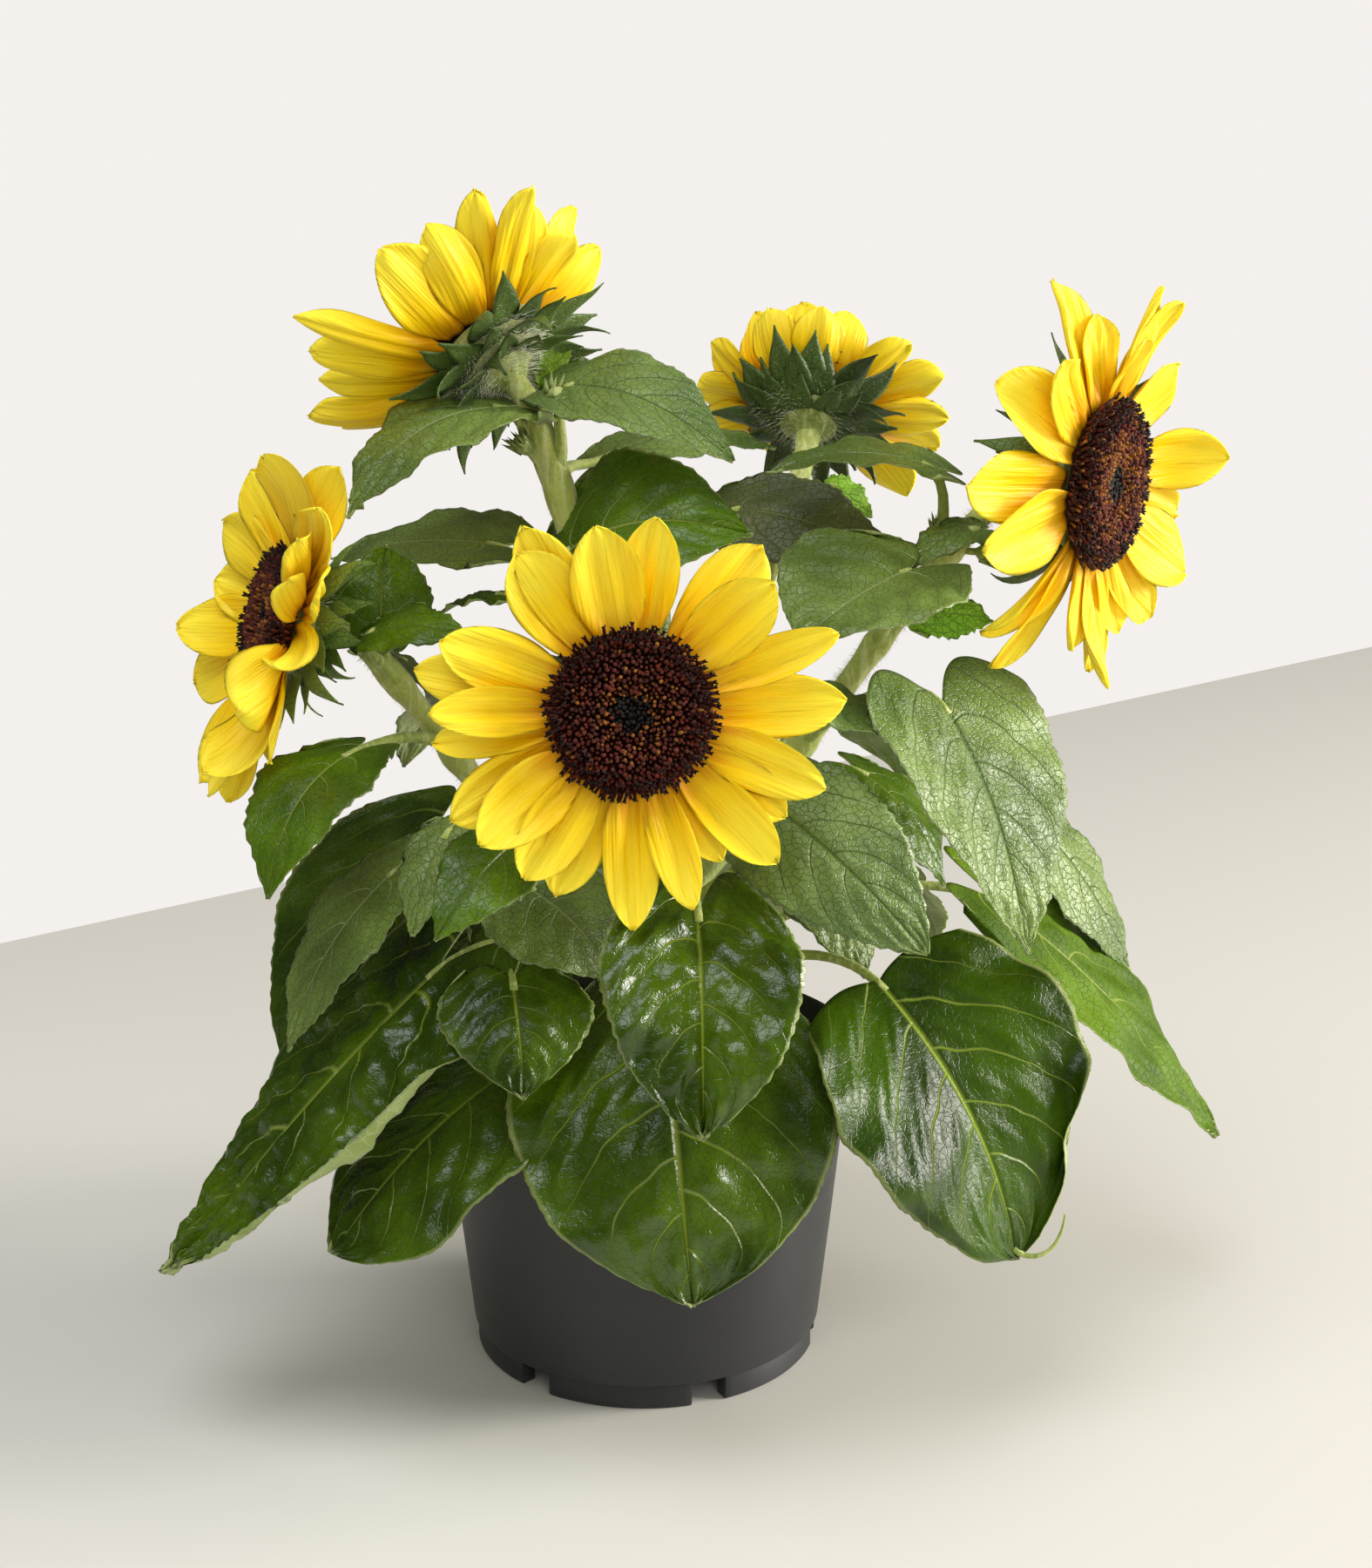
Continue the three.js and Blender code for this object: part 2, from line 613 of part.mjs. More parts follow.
function leafStalk(leaf, frame) {
  const length = leaf.stalk[2];
  const leave = direction(leaf.stalk[0], 0).add(UP).normalize();
  const end = frame.base.clone().addScaledVector(frame.tangent, LEAF.sunk);
  end.addScaledVector(frame.upper, -LEAF.thickness);
  const curve = new THREE.CubicBezierCurve3(
    frame.foot,
    frame.foot.clone().addScaledVector(leave, length * LEAF.stalkRise),
    end.clone().addScaledVector(frame.tangent, -length * LEAF.stalkArrive - LEAF.sunk),
    end,
  );
  return limb(curve, [LEAF.stalkFoot, LEAF.stalkEnd], LEAF.stalkSides, LEAF.stalkSteps);
}

function leafNode(name) {
  const leaf = LEAVES[name];
  const frame = leafFrame(leaf);
  const whole = leafBlade(leaf, frame).add(leafStalk(leaf, frame));
  const body = largest(whole.subtract(stemSolid(leaf.stem, CLEARANCE)));
  return mesh(`leaf_${name}`, toGeometry(body), "leaf");
}

const plant = new THREE.Group();
plant.add(pot(), soil());
for (const name of Object.keys(STEMS)) {
  plant.add(mesh(`stem_${name}`, toGeometry(stemBody(name)), "stem"));
  plant.add(bloomGroup(name));
}
for (const name of Object.keys(LEAVES)) {
  plant.add(leafNode(name));
}

export default plant;
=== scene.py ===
"""A potted dwarf sunflower with five blooms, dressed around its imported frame.

The plant's tables and rules repeat those of the frame: sizes are millimetres, +Z is up and the front is
towards -Y, and MM turns them into the scene's metres where a mesh is made.
"""

from __future__ import annotations

import json
import logging
import math
from dataclasses import dataclass, field
from enum import Enum
from typing import Callable, Sequence

import bpy
import numpy as np
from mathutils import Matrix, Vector

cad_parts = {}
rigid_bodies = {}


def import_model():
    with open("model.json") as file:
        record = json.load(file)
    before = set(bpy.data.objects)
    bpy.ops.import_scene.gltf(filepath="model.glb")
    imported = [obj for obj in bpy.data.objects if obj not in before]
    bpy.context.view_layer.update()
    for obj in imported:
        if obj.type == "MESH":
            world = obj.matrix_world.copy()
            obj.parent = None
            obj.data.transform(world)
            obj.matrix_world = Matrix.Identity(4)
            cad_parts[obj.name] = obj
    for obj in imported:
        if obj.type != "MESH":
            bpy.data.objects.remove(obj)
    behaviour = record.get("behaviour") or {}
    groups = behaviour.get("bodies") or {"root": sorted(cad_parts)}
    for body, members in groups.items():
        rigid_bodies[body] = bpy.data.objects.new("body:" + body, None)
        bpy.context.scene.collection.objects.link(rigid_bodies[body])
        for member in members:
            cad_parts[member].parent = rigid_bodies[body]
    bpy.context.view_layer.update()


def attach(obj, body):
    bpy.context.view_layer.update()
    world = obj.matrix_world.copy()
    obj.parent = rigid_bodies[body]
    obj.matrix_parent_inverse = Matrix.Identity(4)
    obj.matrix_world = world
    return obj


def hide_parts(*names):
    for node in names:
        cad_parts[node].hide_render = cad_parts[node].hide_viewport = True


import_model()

Array = np.ndarray
Numbers = Sequence[float]
Socket = bpy.types.NodeSocket
Object = bpy.types.Object
Material = bpy.types.Material

log = logging.getLogger("sunflower")
MM = 0.001
UP = np.array([0.0, 0.0, 1.0])
# A way that no stem or stalk runs along, from which the first axis of a section is found
ASIDE = np.array([0.35, 0.9, 0.2])
GOLDEN_TURN = math.pi * (3 - math.sqrt(5))


def unit(vectors: Array) -> Array:
    """Scale vectors to length one along their last axis."""
    return vectors / np.maximum(np.linalg.norm(vectors, axis=-1, keepdims=True), 1e-12)


def direction(heading: float, rise: float) -> Array:
    """Unit vector from a heading, from the front towards the right, and a rise, in degrees."""
    h, r = math.radians(heading), math.radians(rise)
    return np.array([math.sin(h) * math.cos(r), -math.cos(h) * math.cos(r), math.sin(r)])


def spokes(turn: Array) -> Array:
    """Level unit vectors at the given turns, in radians."""
    return np.stack([np.cos(turn), np.sin(turn), 0 * turn], 1)


def axes_along(way: Array, hint: Array) -> Array:
    """Three rows: an axis square to a way and to a hint, one square to both, and the way itself."""
    first = unit(np.cross(way, hint))
    return np.stack([first, np.cross(way, first), way], axis=-2)


def turned_about(vector: Array, axis: Array, degrees: float) -> Array:
    """Turn a vector about a unit axis.

    Args:
        vector: The vector to turn.
        axis: Unit vector to turn about.
        degrees: How far, by the right hand rule.

    Returns:
        The turned vector.
    """
    angle = math.radians(degrees)
    along = axis * np.dot(axis, vector) * (1 - math.cos(angle))
    return vector * math.cos(angle) + np.cross(axis, vector) * math.sin(angle) + along


def scatter(index: float | Array, seed: float) -> float | Array:
    """Even scatter between -1 and 1 that is the same each time."""
    value = index * 0.618034 + seed * 0.414214
    return 2 * (value - np.floor(value)) - 1


def chances(count: int, seed: int) -> Array:
    """Random numbers between -1 and 1 that are the same each time."""
    return np.random.default_rng(seed).random(count) * 2 - 1


def eased(low: float, high: float, value: Array | float) -> Array:
    """Smooth step from 0 at low to 1 at high."""
    share = np.clip((np.asarray(value, float) - low) / (high - low), 0, 1)
    return share * share * (3 - 2 * share)


def shade(code: str) -> tuple[float, float, float, float]:
    """Linear colour of a display colour such as 3f5f2c."""
    parts = [int(code[i : i + 2], 16) / 255 for i in (0, 2, 4)]
    linear = [p / 12.92 if p <= 0.04045 else ((p + 0.055) / 1.055) ** 2.4 for p in parts]
    return (*linear, 1.0)


@dataclass(frozen=True)
class Limb:
    """A cubic curve that a stem or stalk follows, in millimetres."""

    controls: tuple[Array, Array, Array, Array]
    COUNT = 200

    def sampled(self) -> tuple[Array, Array]:
        """Points along the curve and how far along each one lies."""
        t = np.linspace(0, 1, self.COUNT + 1)[:, None]
        a, b, c, d = self.controls
        points = (1 - t) ** 3 * a + 3 * (1 - t) ** 2 * t * b + 3 * (1 - t) * t * t * c + t**3 * d
        steps = np.linalg.norm(np.diff(points, axis=0), axis=1)
        return points, np.concatenate([[0], np.cumsum(steps)])

    def at(self, share: float | Array) -> Array:
        """Points that lie at the given shares of the curve's length."""
        points, run = self.sampled()
        reach = np.asarray(share) * run[-1]
        return np.stack([np.interp(reach, run, points[:, k]) for k in range(3)], axis=-1)

    def length(self) -> float:
        """Length of the curve."""
        return float(self.sampled()[1][-1])


@dataclass
class Form:
    """Points, triangles and texture places of one or more simple bodies, in millimetres.

    `places` holds four numbers a point: the two of its pattern, and its flat place in millimetres.
    """

    points: Array
    faces: Array
    places: Array
    slots: Array

    @staticmethod
    def join(forms: Sequence["Form"]) -> "Form":
        """One form that holds all the given ones."""
        starts = np.cumsum([0] + [len(form.points) for form in forms])
        return Form(
            np.concatenate([form.points for form in forms]),
            np.concatenate([form.faces + start for form, start in zip(forms, starts)]),
            np.concatenate([form.places for form in forms]),
            np.concatenate([form.slots for form in forms]),
        )

    def moved(self, axes: Array, origin: Array) -> "Form":
        """The form with its X, Y and Z laid along three axes, from a new origin."""
        return Form(self.points @ axes + origin, self.faces, self.places, self.slots)

    def copies(self, axes: Array, origins: Array) -> "Form":
        """Many copies of the form.

        Args:
            axes: For each copy, three rows that its X, Y and Z are laid along.
            origins: For each copy, where its origin goes.

        Returns:
            One form with all the copies.
        """
        count, size = len(origins), len(self.points)
        points = np.einsum("pk,nkj->npj", self.points, axes) + origins[:, None]
        faces = self.faces[None] + (np.arange(count) * size)[:, None, None]
        return Form(
            points.reshape(-1, 3),
            faces.reshape(-1, 3),
            np.tile(self.places, (count, 1)),
            np.tile(self.slots, count),
        )


def quads_to_triangles(corners: Sequence[Array]) -> Array:
    """Two triangles for each quad, given as four arrays of point numbers."""
    a, b, c, d = (np.asarray(corner).ravel() for corner in corners)
    both = np.concatenate([np.stack([a, b, c], 1), np.stack([a, c, d], 1)])
    flat = (both[:, 0] == both[:, 1]) | (both[:, 1] == both[:, 2]) | (both[:, 2] == both[:, 0])
    return both[~flat]


def grid_normals(grid: Array) -> Array:
    """Unit normals of a grid of points, rows along and columns across."""
    along, across = np.gradient(grid, axis=0), np.gradient(grid, axis=1)
    return unit(np.cross(across, along))


def sheet(grid: Array, thickness: Array | float, places: Array, slots: tuple[int, int]) -> Form:
    """A closed thin sheet whose margins are sharp.

    Args:
        grid: Points of the upper side, rows along and columns across.
        thickness: How far under them the lower side lies.
        places: Texture places of the points, four numbers each.
        slots: Material places of the upper and the lower side.

    Returns:
        The sheet's form.
    """
    rows, columns = grid.shape[:2]
    lower = grid - grid_normals(grid) * np.broadcast_to(thickness, (rows, columns))[..., None]
    top = np.arange(rows * columns).reshape(rows, columns)
    under = top.copy()
    under[:, 1:-1] = rows * columns + np.arange(rows * (columns - 2)).reshape(rows, columns - 2)
    upper = quads_to_triangles([top[:-1, :-1], top[:-1, 1:], top[1:, 1:], top[1:, :-1]])
    below = quads_to_triangles([under[:-1, :-1], under[1:, :-1], under[1:, 1:], under[:-1, 1:]])
    foot = quads_to_triangles([top[0, :-1], under[0, :-1], under[0, 1:], top[0, 1:]])
    tip = quads_to_triangles([top[-1, :-1], top[-1, 1:], under[-1, 1:], under[-1, :-1]])
    faces = np.concatenate([upper, below, foot, tip])
    marks = np.full(len(faces), slots[1])
    marks[: len(upper)] = slots[0]
    flat = places.reshape(-1, 4)
    inner = places[:, 1:-1].reshape(-1, 4)
    points = np.concatenate([grid.reshape(-1, 3), lower[:, 1:-1].reshape(-1, 3)])
    return Form(points, faces, np.concatenate([flat, inner]), marks)


def tube(limb: Limb, radius: Callable[[Array], Array], sides: int, steps: int, slot: int) -> Form:
    """A closed tube along a limb.

    Args:
        limb: The curve of its middle.
        radius: Radius at each share of its length.
        sides: How many faces run round it.
        steps: How many faces run along it.
        slot: Its material place.

    Returns:
        The tube's form, whose texture places are its share and millimetres along.
    """
    share = np.linspace(0, 1, steps + 1)
    middle = limb.at(share)
    along = unit(np.gradient(middle, axis=0))
    first = unit(np.cross(along, ASIDE))
    second = np.cross(along, first)
    angle = np.arange(sides) * math.tau / sides
    ring = np.cos(angle)[:, None, None] * first + np.sin(angle)[:, None, None] * second
    points = middle + ring * radius(share)[:, None]
    points = points.transpose(1, 0, 2).reshape(-1, 3)
    here = np.arange(steps)[:, None] * sides + np.arange(sides)
    there = np.arange(steps)[:, None] * sides + (np.arange(sides) + 1) % sides
    faces = quads_to_triangles([here, there, there + sides, here + sides])
    fan = np.arange(1, sides - 1)
    last = steps * sides
    foot = np.stack([np.zeros_like(fan), fan + 1, fan], 1)
    end = np.stack([np.full_like(fan, last), last + fan, last + fan + 1], 1)
    faces = np.concatenate([faces, foot, end])
    reach = np.repeat(share, sides)
    round_it = np.tile(angle / math.tau, steps + 1)
    size = limb.length()
    places = np.stack([round_it, reach, round_it * math.tau * 2, reach * size], 1)
    return Form(points, faces, places, np.full(len(faces), slot))


def blade_places(half: Array, across: Array, share: Array, length: float, shift: float) -> Array:
    """Texture places of a ray or bract.

    Args:
        half: Half width of each row, in millimetres.
        across: Place of each column, from -1 to 1.
        share: Share of the length at each row.
        length: Its length in millimetres.
        shift: How far its flat place is moved, so that no two look alike.

    Returns:
        Four numbers for each point.
    """
    across, share = across[None] + 0 * share[:, None], share[:, None] + 0 * across[None]
    return np.stack([(across + 1) / 2, share, half[:, None] * across + shift, share * length], axis=-1)


def select_only(*pieces: Object) -> None:
    """Select these objects alone, with the first of them active."""
    bpy.ops.object.select_all(action="DESELECT")
    for piece in pieces:
        piece.select_set(True)
    if pieces:
        bpy.context.view_layer.objects.active = pieces[0]


def make_object(name: str, form: Form, materials: Sequence[Material]) -> Object:
    """A smooth mesh object at the scene's origin.

    Args:
        name: Name of the object.
        form: Its shape in millimetres.
        materials: The materials that the form's slots count.

    Returns:
        The new object.
    """
    mesh = bpy.data.meshes.new(name)
    count = len(form.faces)
    mesh.vertices.add(len(form.points))
    mesh.vertices.foreach_set("co", (form.points * MM).astype(np.float32).ravel())
    mesh.loops.add(3 * count)
    mesh.loops.foreach_set("vertex_index", form.faces.astype(np.int32).ravel())
    mesh.polygons.add(count)
    mesh.polygons.foreach_set("loop_start", np.arange(0, 3 * count, 3, dtype=np.int32))
    mesh.polygons.foreach_set("material_index", form.slots.astype(np.int32))
    mesh.polygons.foreach_set("use_smooth", np.ones(count, bool))
    corners = form.faces.ravel()
    for layer, columns, size in (("pattern", slice(0, 2), 1.0), ("flat", slice(2, 4), MM)):
        data = mesh.uv_layers.new(name=layer).data
        data.foreach_set("uv", (form.places[corners, columns] * size).astype(np.float32).ravel())
    mesh.update(calc_edges=True)
    mesh.validate()
    piece = bpy.data.objects.new(name, mesh)
    bpy.context.scene.collection.objects.link(piece)
    for material in materials:
        mesh.materials.append(material)
    return piece


def seat(piece: Object, slot: str, *nodes: str) -> None:
    """Let a piece ride on the plant and stand for some nodes, and log it with its slot.

    Args:
        piece: The finished piece.
        slot: Material slot of the record.
        nodes: The frame's nodes that it stands for.
    """
    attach(piece, "root")
    if nodes:
        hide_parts(*nodes)
    piece.data.calc_loop_triangles()
    log.info("%s: %d triangles, slot %s", piece.name, len(piece.data.loop_triangles), slot)


class Wiring:
    """Adds nodes to one node tree and links them, from left to right."""

    def __init__(self, tree: bpy.types.NodeTree) -> None:
        """Start on a node tree."""
        self.tree = tree

    def feed(self, socket: Socket, value: object) -> None:
        """Link a socket to an input, or set the input's value."""
        if isinstance(value, Socket):
            self.tree.links.new(value, socket)
        else:
            socket.default_value = value

    def node(self, kind: str, inputs: dict | None = None, **settings: object) -> bpy.types.Node:
        """Add a node.

        Args:
            kind: The node's type, without its ShaderNode prefix.
            inputs: Values or sockets for its inputs, by name or number.
            settings: Values for its own settings.

        Returns:
            The new node.
        """
        node = self.tree.nodes.new("ShaderNode" + kind)
        for key, value in settings.items():
            setattr(node, key, value)
        for key, value in (inputs or {}).items():
            self.feed(node.inputs[key], value)
        return node

    def group(self, name: str, inputs: dict) -> bpy.types.NodeOutputs:
        """Outputs of a shared group, placed with its own values."""
        return self.node("Group", inputs, node_tree=GROUPS[name]).outputs

    def math(self, operation: str, *values: object) -> Socket:
        """Output of a Math node."""
        return self.node("Math", dict(enumerate(values)), operation=operation).outputs[0]

    def plus(self, first: object, second: object) -> Socket:
        """Sum of two values."""
        return self.math("ADD", first, second)

    def minus(self, first: object, second: object) -> Socket:
        """Difference of two values."""
        return self.math("SUBTRACT", first, second)

    def times(self, first: object, second: object) -> Socket:
        """Product of two values."""
        return self.math("MULTIPLY", first, second)

    def weighed(self, *parts: tuple[object, float]) -> Socket:
        """Sum of values, each times its weight."""
        total = self.times(*parts[0])
        for value, weight in parts[1:]:
            total = self.plus(total, self.times(value, weight))
        return total

    def span(self, value: object, low: float, high: float, start: float, end: float) -> Socket:
        """Carry a value from one span to another, held at its ends."""
        inputs = {0: value, 1: low, 2: high, 3: start, 4: end}
        return self.node("MapRange", inputs, interpolation_type="SMOOTHSTEP").outputs[0]

    def mix(self, factor: object, first: object, second: object) -> Socket:
        """Mix two colours."""
        node = self.node("Mix", None, data_type="RGBA")
        sockets = {socket.name: socket for socket in node.inputs if socket.enabled}
        for name, value in (("Factor", factor), ("A", first), ("B", second)):
            self.feed(sockets[name], value)
        return next(socket for socket in node.outputs if socket.enabled)

    def layered(self, colour: object, *layers: tuple[object, float, str]) -> Socket:
        """A colour with others laid over it, each by its mask and the mask's weight."""
        for mask, weight, code in layers:
            colour = self.mix(self.times(mask, weight), colour, shade(code))
        return colour

    def noise(self, vector: object, scale: float, detail: float, stretch: Numbers = (1, 1, 1)) -> Socket:
        """Noise between 0 and 1 on a vector, stretched along some axes."""
        placed = self.node("Mapping", {"Vector": vector, "Scale": stretch}).outputs[0]
        return self.node("TexNoise", {"Vector": placed, "Scale": scale, "Detail": detail}).outputs[0]

    def place(self, layer: str) -> Socket:
        """A UV map of the piece."""
        return self.node("UVMap", None, uv_map=layer).outputs[0]

    def objects(self) -> Socket:
        """Object coordinates."""
        return self.node("TexCoord").outputs["Object"]

    def surface(
        self, colour: object, roughness: object, height: object = None, relief: float = 0.0, **fixed: object
    ) -> None:
        """Finish the material.

        Args:
            colour: Base colour, a value or a socket.
            roughness: Roughness, a value or a socket.
            height: Socket of the relief's height, where it has one.
            relief: Depth of the relief in metres.
            fixed: Constant shader values, by socket name with underscores.
        """
        shader = next(node for node in self.tree.nodes if node.type == "BSDF_PRINCIPLED")
        self.feed(shader.inputs["Base Color"], colour)
        self.feed(shader.inputs["Roughness"], roughness)
        for key, value in fixed.items():
            shader.inputs[key.replace("_", " ")].default_value = value
        if height is not None:
            bump = self.node("Bump", {"Height": height, "Strength": 1.0, "Distance": relief})
            self.feed(shader.inputs["Normal"], bump.outputs[0])


def new_group(
    name: str, inputs: dict[str, str], outputs: dict[str, str]
) -> tuple[Wiring, bpy.types.NodeOutputs, bpy.types.NodeInputs]:
    """Start a shader node group.

    Args:
        name: Its name.
        inputs: Socket type of each input.
        outputs: Socket type of each output.

    Returns:
        Its wiring, what it is given, and what it puts out.
    """
    tree = bpy.data.node_groups.new(name, "ShaderNodeTree")
    for side, sockets in (("INPUT", inputs), ("OUTPUT", outputs)):
        for socket, kind in sockets.items():
            tree.interface.new_socket(socket, in_out=side, socket_type="NodeSocket" + kind)
    return Wiring(tree), tree.nodes.new("NodeGroupInput").outputs, tree.nodes.new("NodeGroupOutput").inputs


def new_material(name: str) -> tuple[Material, Wiring]:
    """An empty material with its shader, and its wiring."""
    material = bpy.data.materials.new(name)
    material.use_nodes = True
    return material, Wiring(material.node_tree)


# How the side veins of a leaf run, in its relief and in its finish: their number along the blade, how far
# each one climbs towards the margin, how it bends, how far those of the left half are moved along, and how
# far the painted ones stray
VEINS = 5.4
VEIN_CLIMB = 0.4
VEIN_BEND = 1.2
VEIN_SHIFT = 0.45
VEIN_WOBBLE = 0.28


def vein_group() -> bpy.types.NodeTree:
    """Node group for a leaf's veins, from its pattern map.

    Returns:
        A group that puts out masks of the midrib, of the lateral veins and of the margin.
    """
    wiring, given, out = new_group(
        "leaf_veins",
        {"Pattern": "Vector", "Wobble": "Float"},
        {"Midrib": "Float", "Lateral": "Float", "Margin": "Float"},
    )
    parts = wiring.node("SeparateXYZ", {0: given["Pattern"]}).outputs
    along = parts[1]
    across = wiring.minus(wiring.times(parts[0], 2.0), 1.0)
    out_from = wiring.math("ABSOLUTE", across)
    climb = wiring.times(wiring.math("POWER", out_from, VEIN_BEND), VEIN_CLIMB)
    left = wiring.times(wiring.math("LESS_THAN", across, 0.0), VEIN_SHIFT)
    phase = wiring.times(wiring.minus(along, climb), VEINS)
    phase = wiring.plus(wiring.plus(phase, left), given["Wobble"])
    near = wiring.minus(wiring.math("FRACT", wiring.plus(phase, 0.5)), 0.5)
    thin = wiring.span(out_from, 0.0, 1.0, 0.042, 0.018)
    lateral = wiring.minus(1.0, wiring.math("DIVIDE", wiring.math("ABSOLUTE", near), thin))
    fade = wiring.span(out_from, 0.75, 1.0, 1.0, 0.2)
    lateral = wiring.times(wiring.math("MAXIMUM", lateral, 0.0), fade)
    width = wiring.span(along, 0.0, 1.0, 0.034, 0.02)
    midrib = wiring.math("MAXIMUM", wiring.minus(1.0, wiring.math("DIVIDE", out_from, width)), 0.0)
    margin = wiring.span(out_from, 0.95, 1.0, 0.0, 1.0)
    for socket, value in (("Midrib", midrib), ("Lateral", lateral), ("Margin", margin)):
        wiring.feed(out[socket], wiring.math("MINIMUM", value, 1.0))
    return wiring.tree


def net_group() -> bpy.types.NodeTree:
    """Node group for the fine net between the veins, from a flat map in metres.

    Returns:
        A group that puts out the lines of a coarse and of a fine net.
    """
    wiring, given, out = new_group(
        "leaf_net", {"Flat": "Vector", "Cells": "Float"}, {"Lines": "Float", "Grain": "Float"}
    )
    warp = wiring.node("TexNoise", {"Vector": given["Flat"], "Scale": 260.0, "Detail": 3.0})
    shift = {0: warp.outputs["Color"], 1: (0.003, 0.003, 0.0)}
    shift = wiring.node("VectorMath", shift, operation="MULTIPLY").outputs[0]
    placed = wiring.node("VectorMath", {0: given["Flat"], 1: shift}, operation="ADD").outputs[0]
    for socket, factor, width in (("Lines", 1.0, 0.12), ("Grain", 2.7, 0.22)):
        inputs = {"Vector": placed, "Scale": wiring.times(given["Cells"], factor)}
        cells = wiring.node("TexVoronoi", inputs, feature="DISTANCE_TO_EDGE", voronoi_dimensions="2D")
        wiring.feed(out[socket], wiring.span(cells.outputs["Distance"], 0.0, width, 1.0, 0.0))
    return wiring.tree


def mottle_group() -> bpy.types.NodeTree:
    """Node group for soft patches and fine specks.

    Returns:
        A group that puts out both masks.
    """
    wiring, given, out = new_group(
        "mottle", {"Vector": "Vector", "Scale": "Float"}, {"Patches": "Float", "Specks": "Float"}
    )
    for socket, factor, low, high in (("Patches", 1.0, 0.35, 0.65), ("Specks", 14.0, 0.3, 0.7)):
        scale = wiring.times(given["Scale"], factor)
        noise = wiring.node("TexNoise", {"Vector": given["Vector"], "Scale": scale, "Detail": 4.0})
        wiring.feed(out[socket], wiring.span(noise.outputs[0], low, high, 0.0, 1.0))
    return wiring.tree


GROUPS = {"veins": vein_group(), "net": net_group(), "mottle": mottle_group()}


def leaf_masks(wiring: Wiring, cells: float) -> tuple[bpy.types.NodeOutputs, bpy.types.NodeOutputs]:
    """Masks of a leaf side's veins and of its net, which has the given number of cells in a metre."""
    flat = wiring.place("flat")
    wobble = wiring.times(wiring.noise(flat, 60.0, 1.0), VEIN_WOBBLE)
    veins = wiring.group("veins", {"Pattern": wiring.place("pattern"), "Wobble": wobble})
    return veins, wiring.group("net", {"Flat": flat, "Cells": cells})


@dataclass(frozen=True)
class LeafFinish:
    """The upper side of a leaf.

    `sheen` is how far fine pale hairs dull it, and `quilt` how deep the net between its veins is pressed.
    """

    name: str
    deep: str
    light: str
    vein: str
    margin: str
    roughness: float
    sheen: float
    quilt: float
    gloss: float = 0.7

    # Colour of the painted shade laid in the grooves of the net between the veins
    NET_PAINTED_SHADE = "2a3e06"
    HAIRS = "dfe8d4"
    CELLS = 330.0
    RELIEF = 0.0006

    def build(self) -> Material:
        """The finish's material."""
        material, wiring = new_material(self.name)
        veins, net = leaf_masks(wiring, self.CELLS)
        mottle = wiring.group("mottle", {"Vector": wiring.objects(), "Scale": 26.0})
        colour = wiring.layered(
            wiring.mix(mottle["Patches"], shade(self.deep), shade(self.light)),
            # painted shade in the net's grooves
            (net["Lines"], 0.4, self.NET_PAINTED_SHADE),
            (mottle["Specks"], 0.12 + 0.3 * self.sheen, self.light),
            (veins["Lateral"], 0.7, self.vein),
            (veins["Midrib"], 0.85, self.vein),
            (veins["Margin"], 0.6, self.margin),
        )
        height = wiring.weighed(
            (net["Lines"], -self.quilt), (net["Grain"], -0.35 * self.quilt), (veins["Lateral"], -0.8),
            (veins["Midrib"], -1.0), (mottle["Specks"], 0.12),
        )
        roughness = wiring.plus(wiring.times(mottle["Specks"], 0.12), self.roughness)
        wiring.surface(
            colour, roughness, height, self.RELIEF, Specular_IOR_Level=self.gloss,
            Sheen_Weight=self.sheen, Sheen_Roughness=0.4, Sheen_Tint=shade(self.HAIRS),
        )
        return material


@dataclass(frozen=True)
class UndersideFinish:
    """The pale lower side of a leaf, with its standing veins."""

    name: str
    deep: str
    light: str
    vein: str

    CELLS = 210.0
    RELIEF = 0.0005

    def build(self) -> Material:
        """The finish's material."""
        material, wiring = new_material(self.name)
        veins, net = leaf_masks(wiring, self.CELLS)
        mottle = wiring.group("mottle", {"Vector": wiring.place("flat"), "Scale": 40.0})
        colour = wiring.mix(mottle["Patches"], shade(self.deep), shade(self.light))
        lines = wiring.math("MAXIMUM", veins["Lateral"], veins["Midrib"])
        colour = wiring.layered(colour, (lines, 0.8, self.vein), (net["Lines"], 0.3, self.vein))
        height = wiring.plus(lines, wiring.times(net["Lines"], 0.4))
        wiring.surface(
            colour, 0.62, height, self.RELIEF, Sheen_Weight=0.2, Sheen_Roughness=0.5,
            Subsurface_Weight=0.1, Subsurface_Radius=(0.4, 0.6, 0.1), Subsurface_Scale=0.002,
        )
        return material


@dataclass(frozen=True)
class StemFinish:
    """Green skin of a stem, stalk or cup, with ribs along it and a bloom of fine down."""

    name: str
    deep: str
    light: str
    rib: str

    DOWN = "eef2dc"
    RELIEF = 0.0005

    def build(self) -> Material:
        """The finish's material."""
        material, wiring = new_material(self.name)
        place = wiring.objects()
        mottle = wiring.group("mottle", {"Vector": place, "Scale": 45.0})
        ribs = wiring.noise(place, 420.0, 2.0, (1.0, 1.0, 0.08))
        colour = wiring.mix(mottle["Patches"], shade(self.deep), shade(self.light))
        colour = wiring.mix(wiring.span(ribs, 0.45, 0.7, 0.0, 0.7), colour, shade(self.rib))
        colour = wiring.layered(colour, (mottle["Specks"], 0.25, self.rib))
        height = wiring.plus(ribs, wiring.times(mottle["Specks"], 0.3))
        wiring.surface(
            colour, 0.6, height, self.RELIEF,
            Sheen_Weight=0.35, Sheen_Roughness=0.4, Sheen_Tint=shade(self.DOWN),
        )
        return material


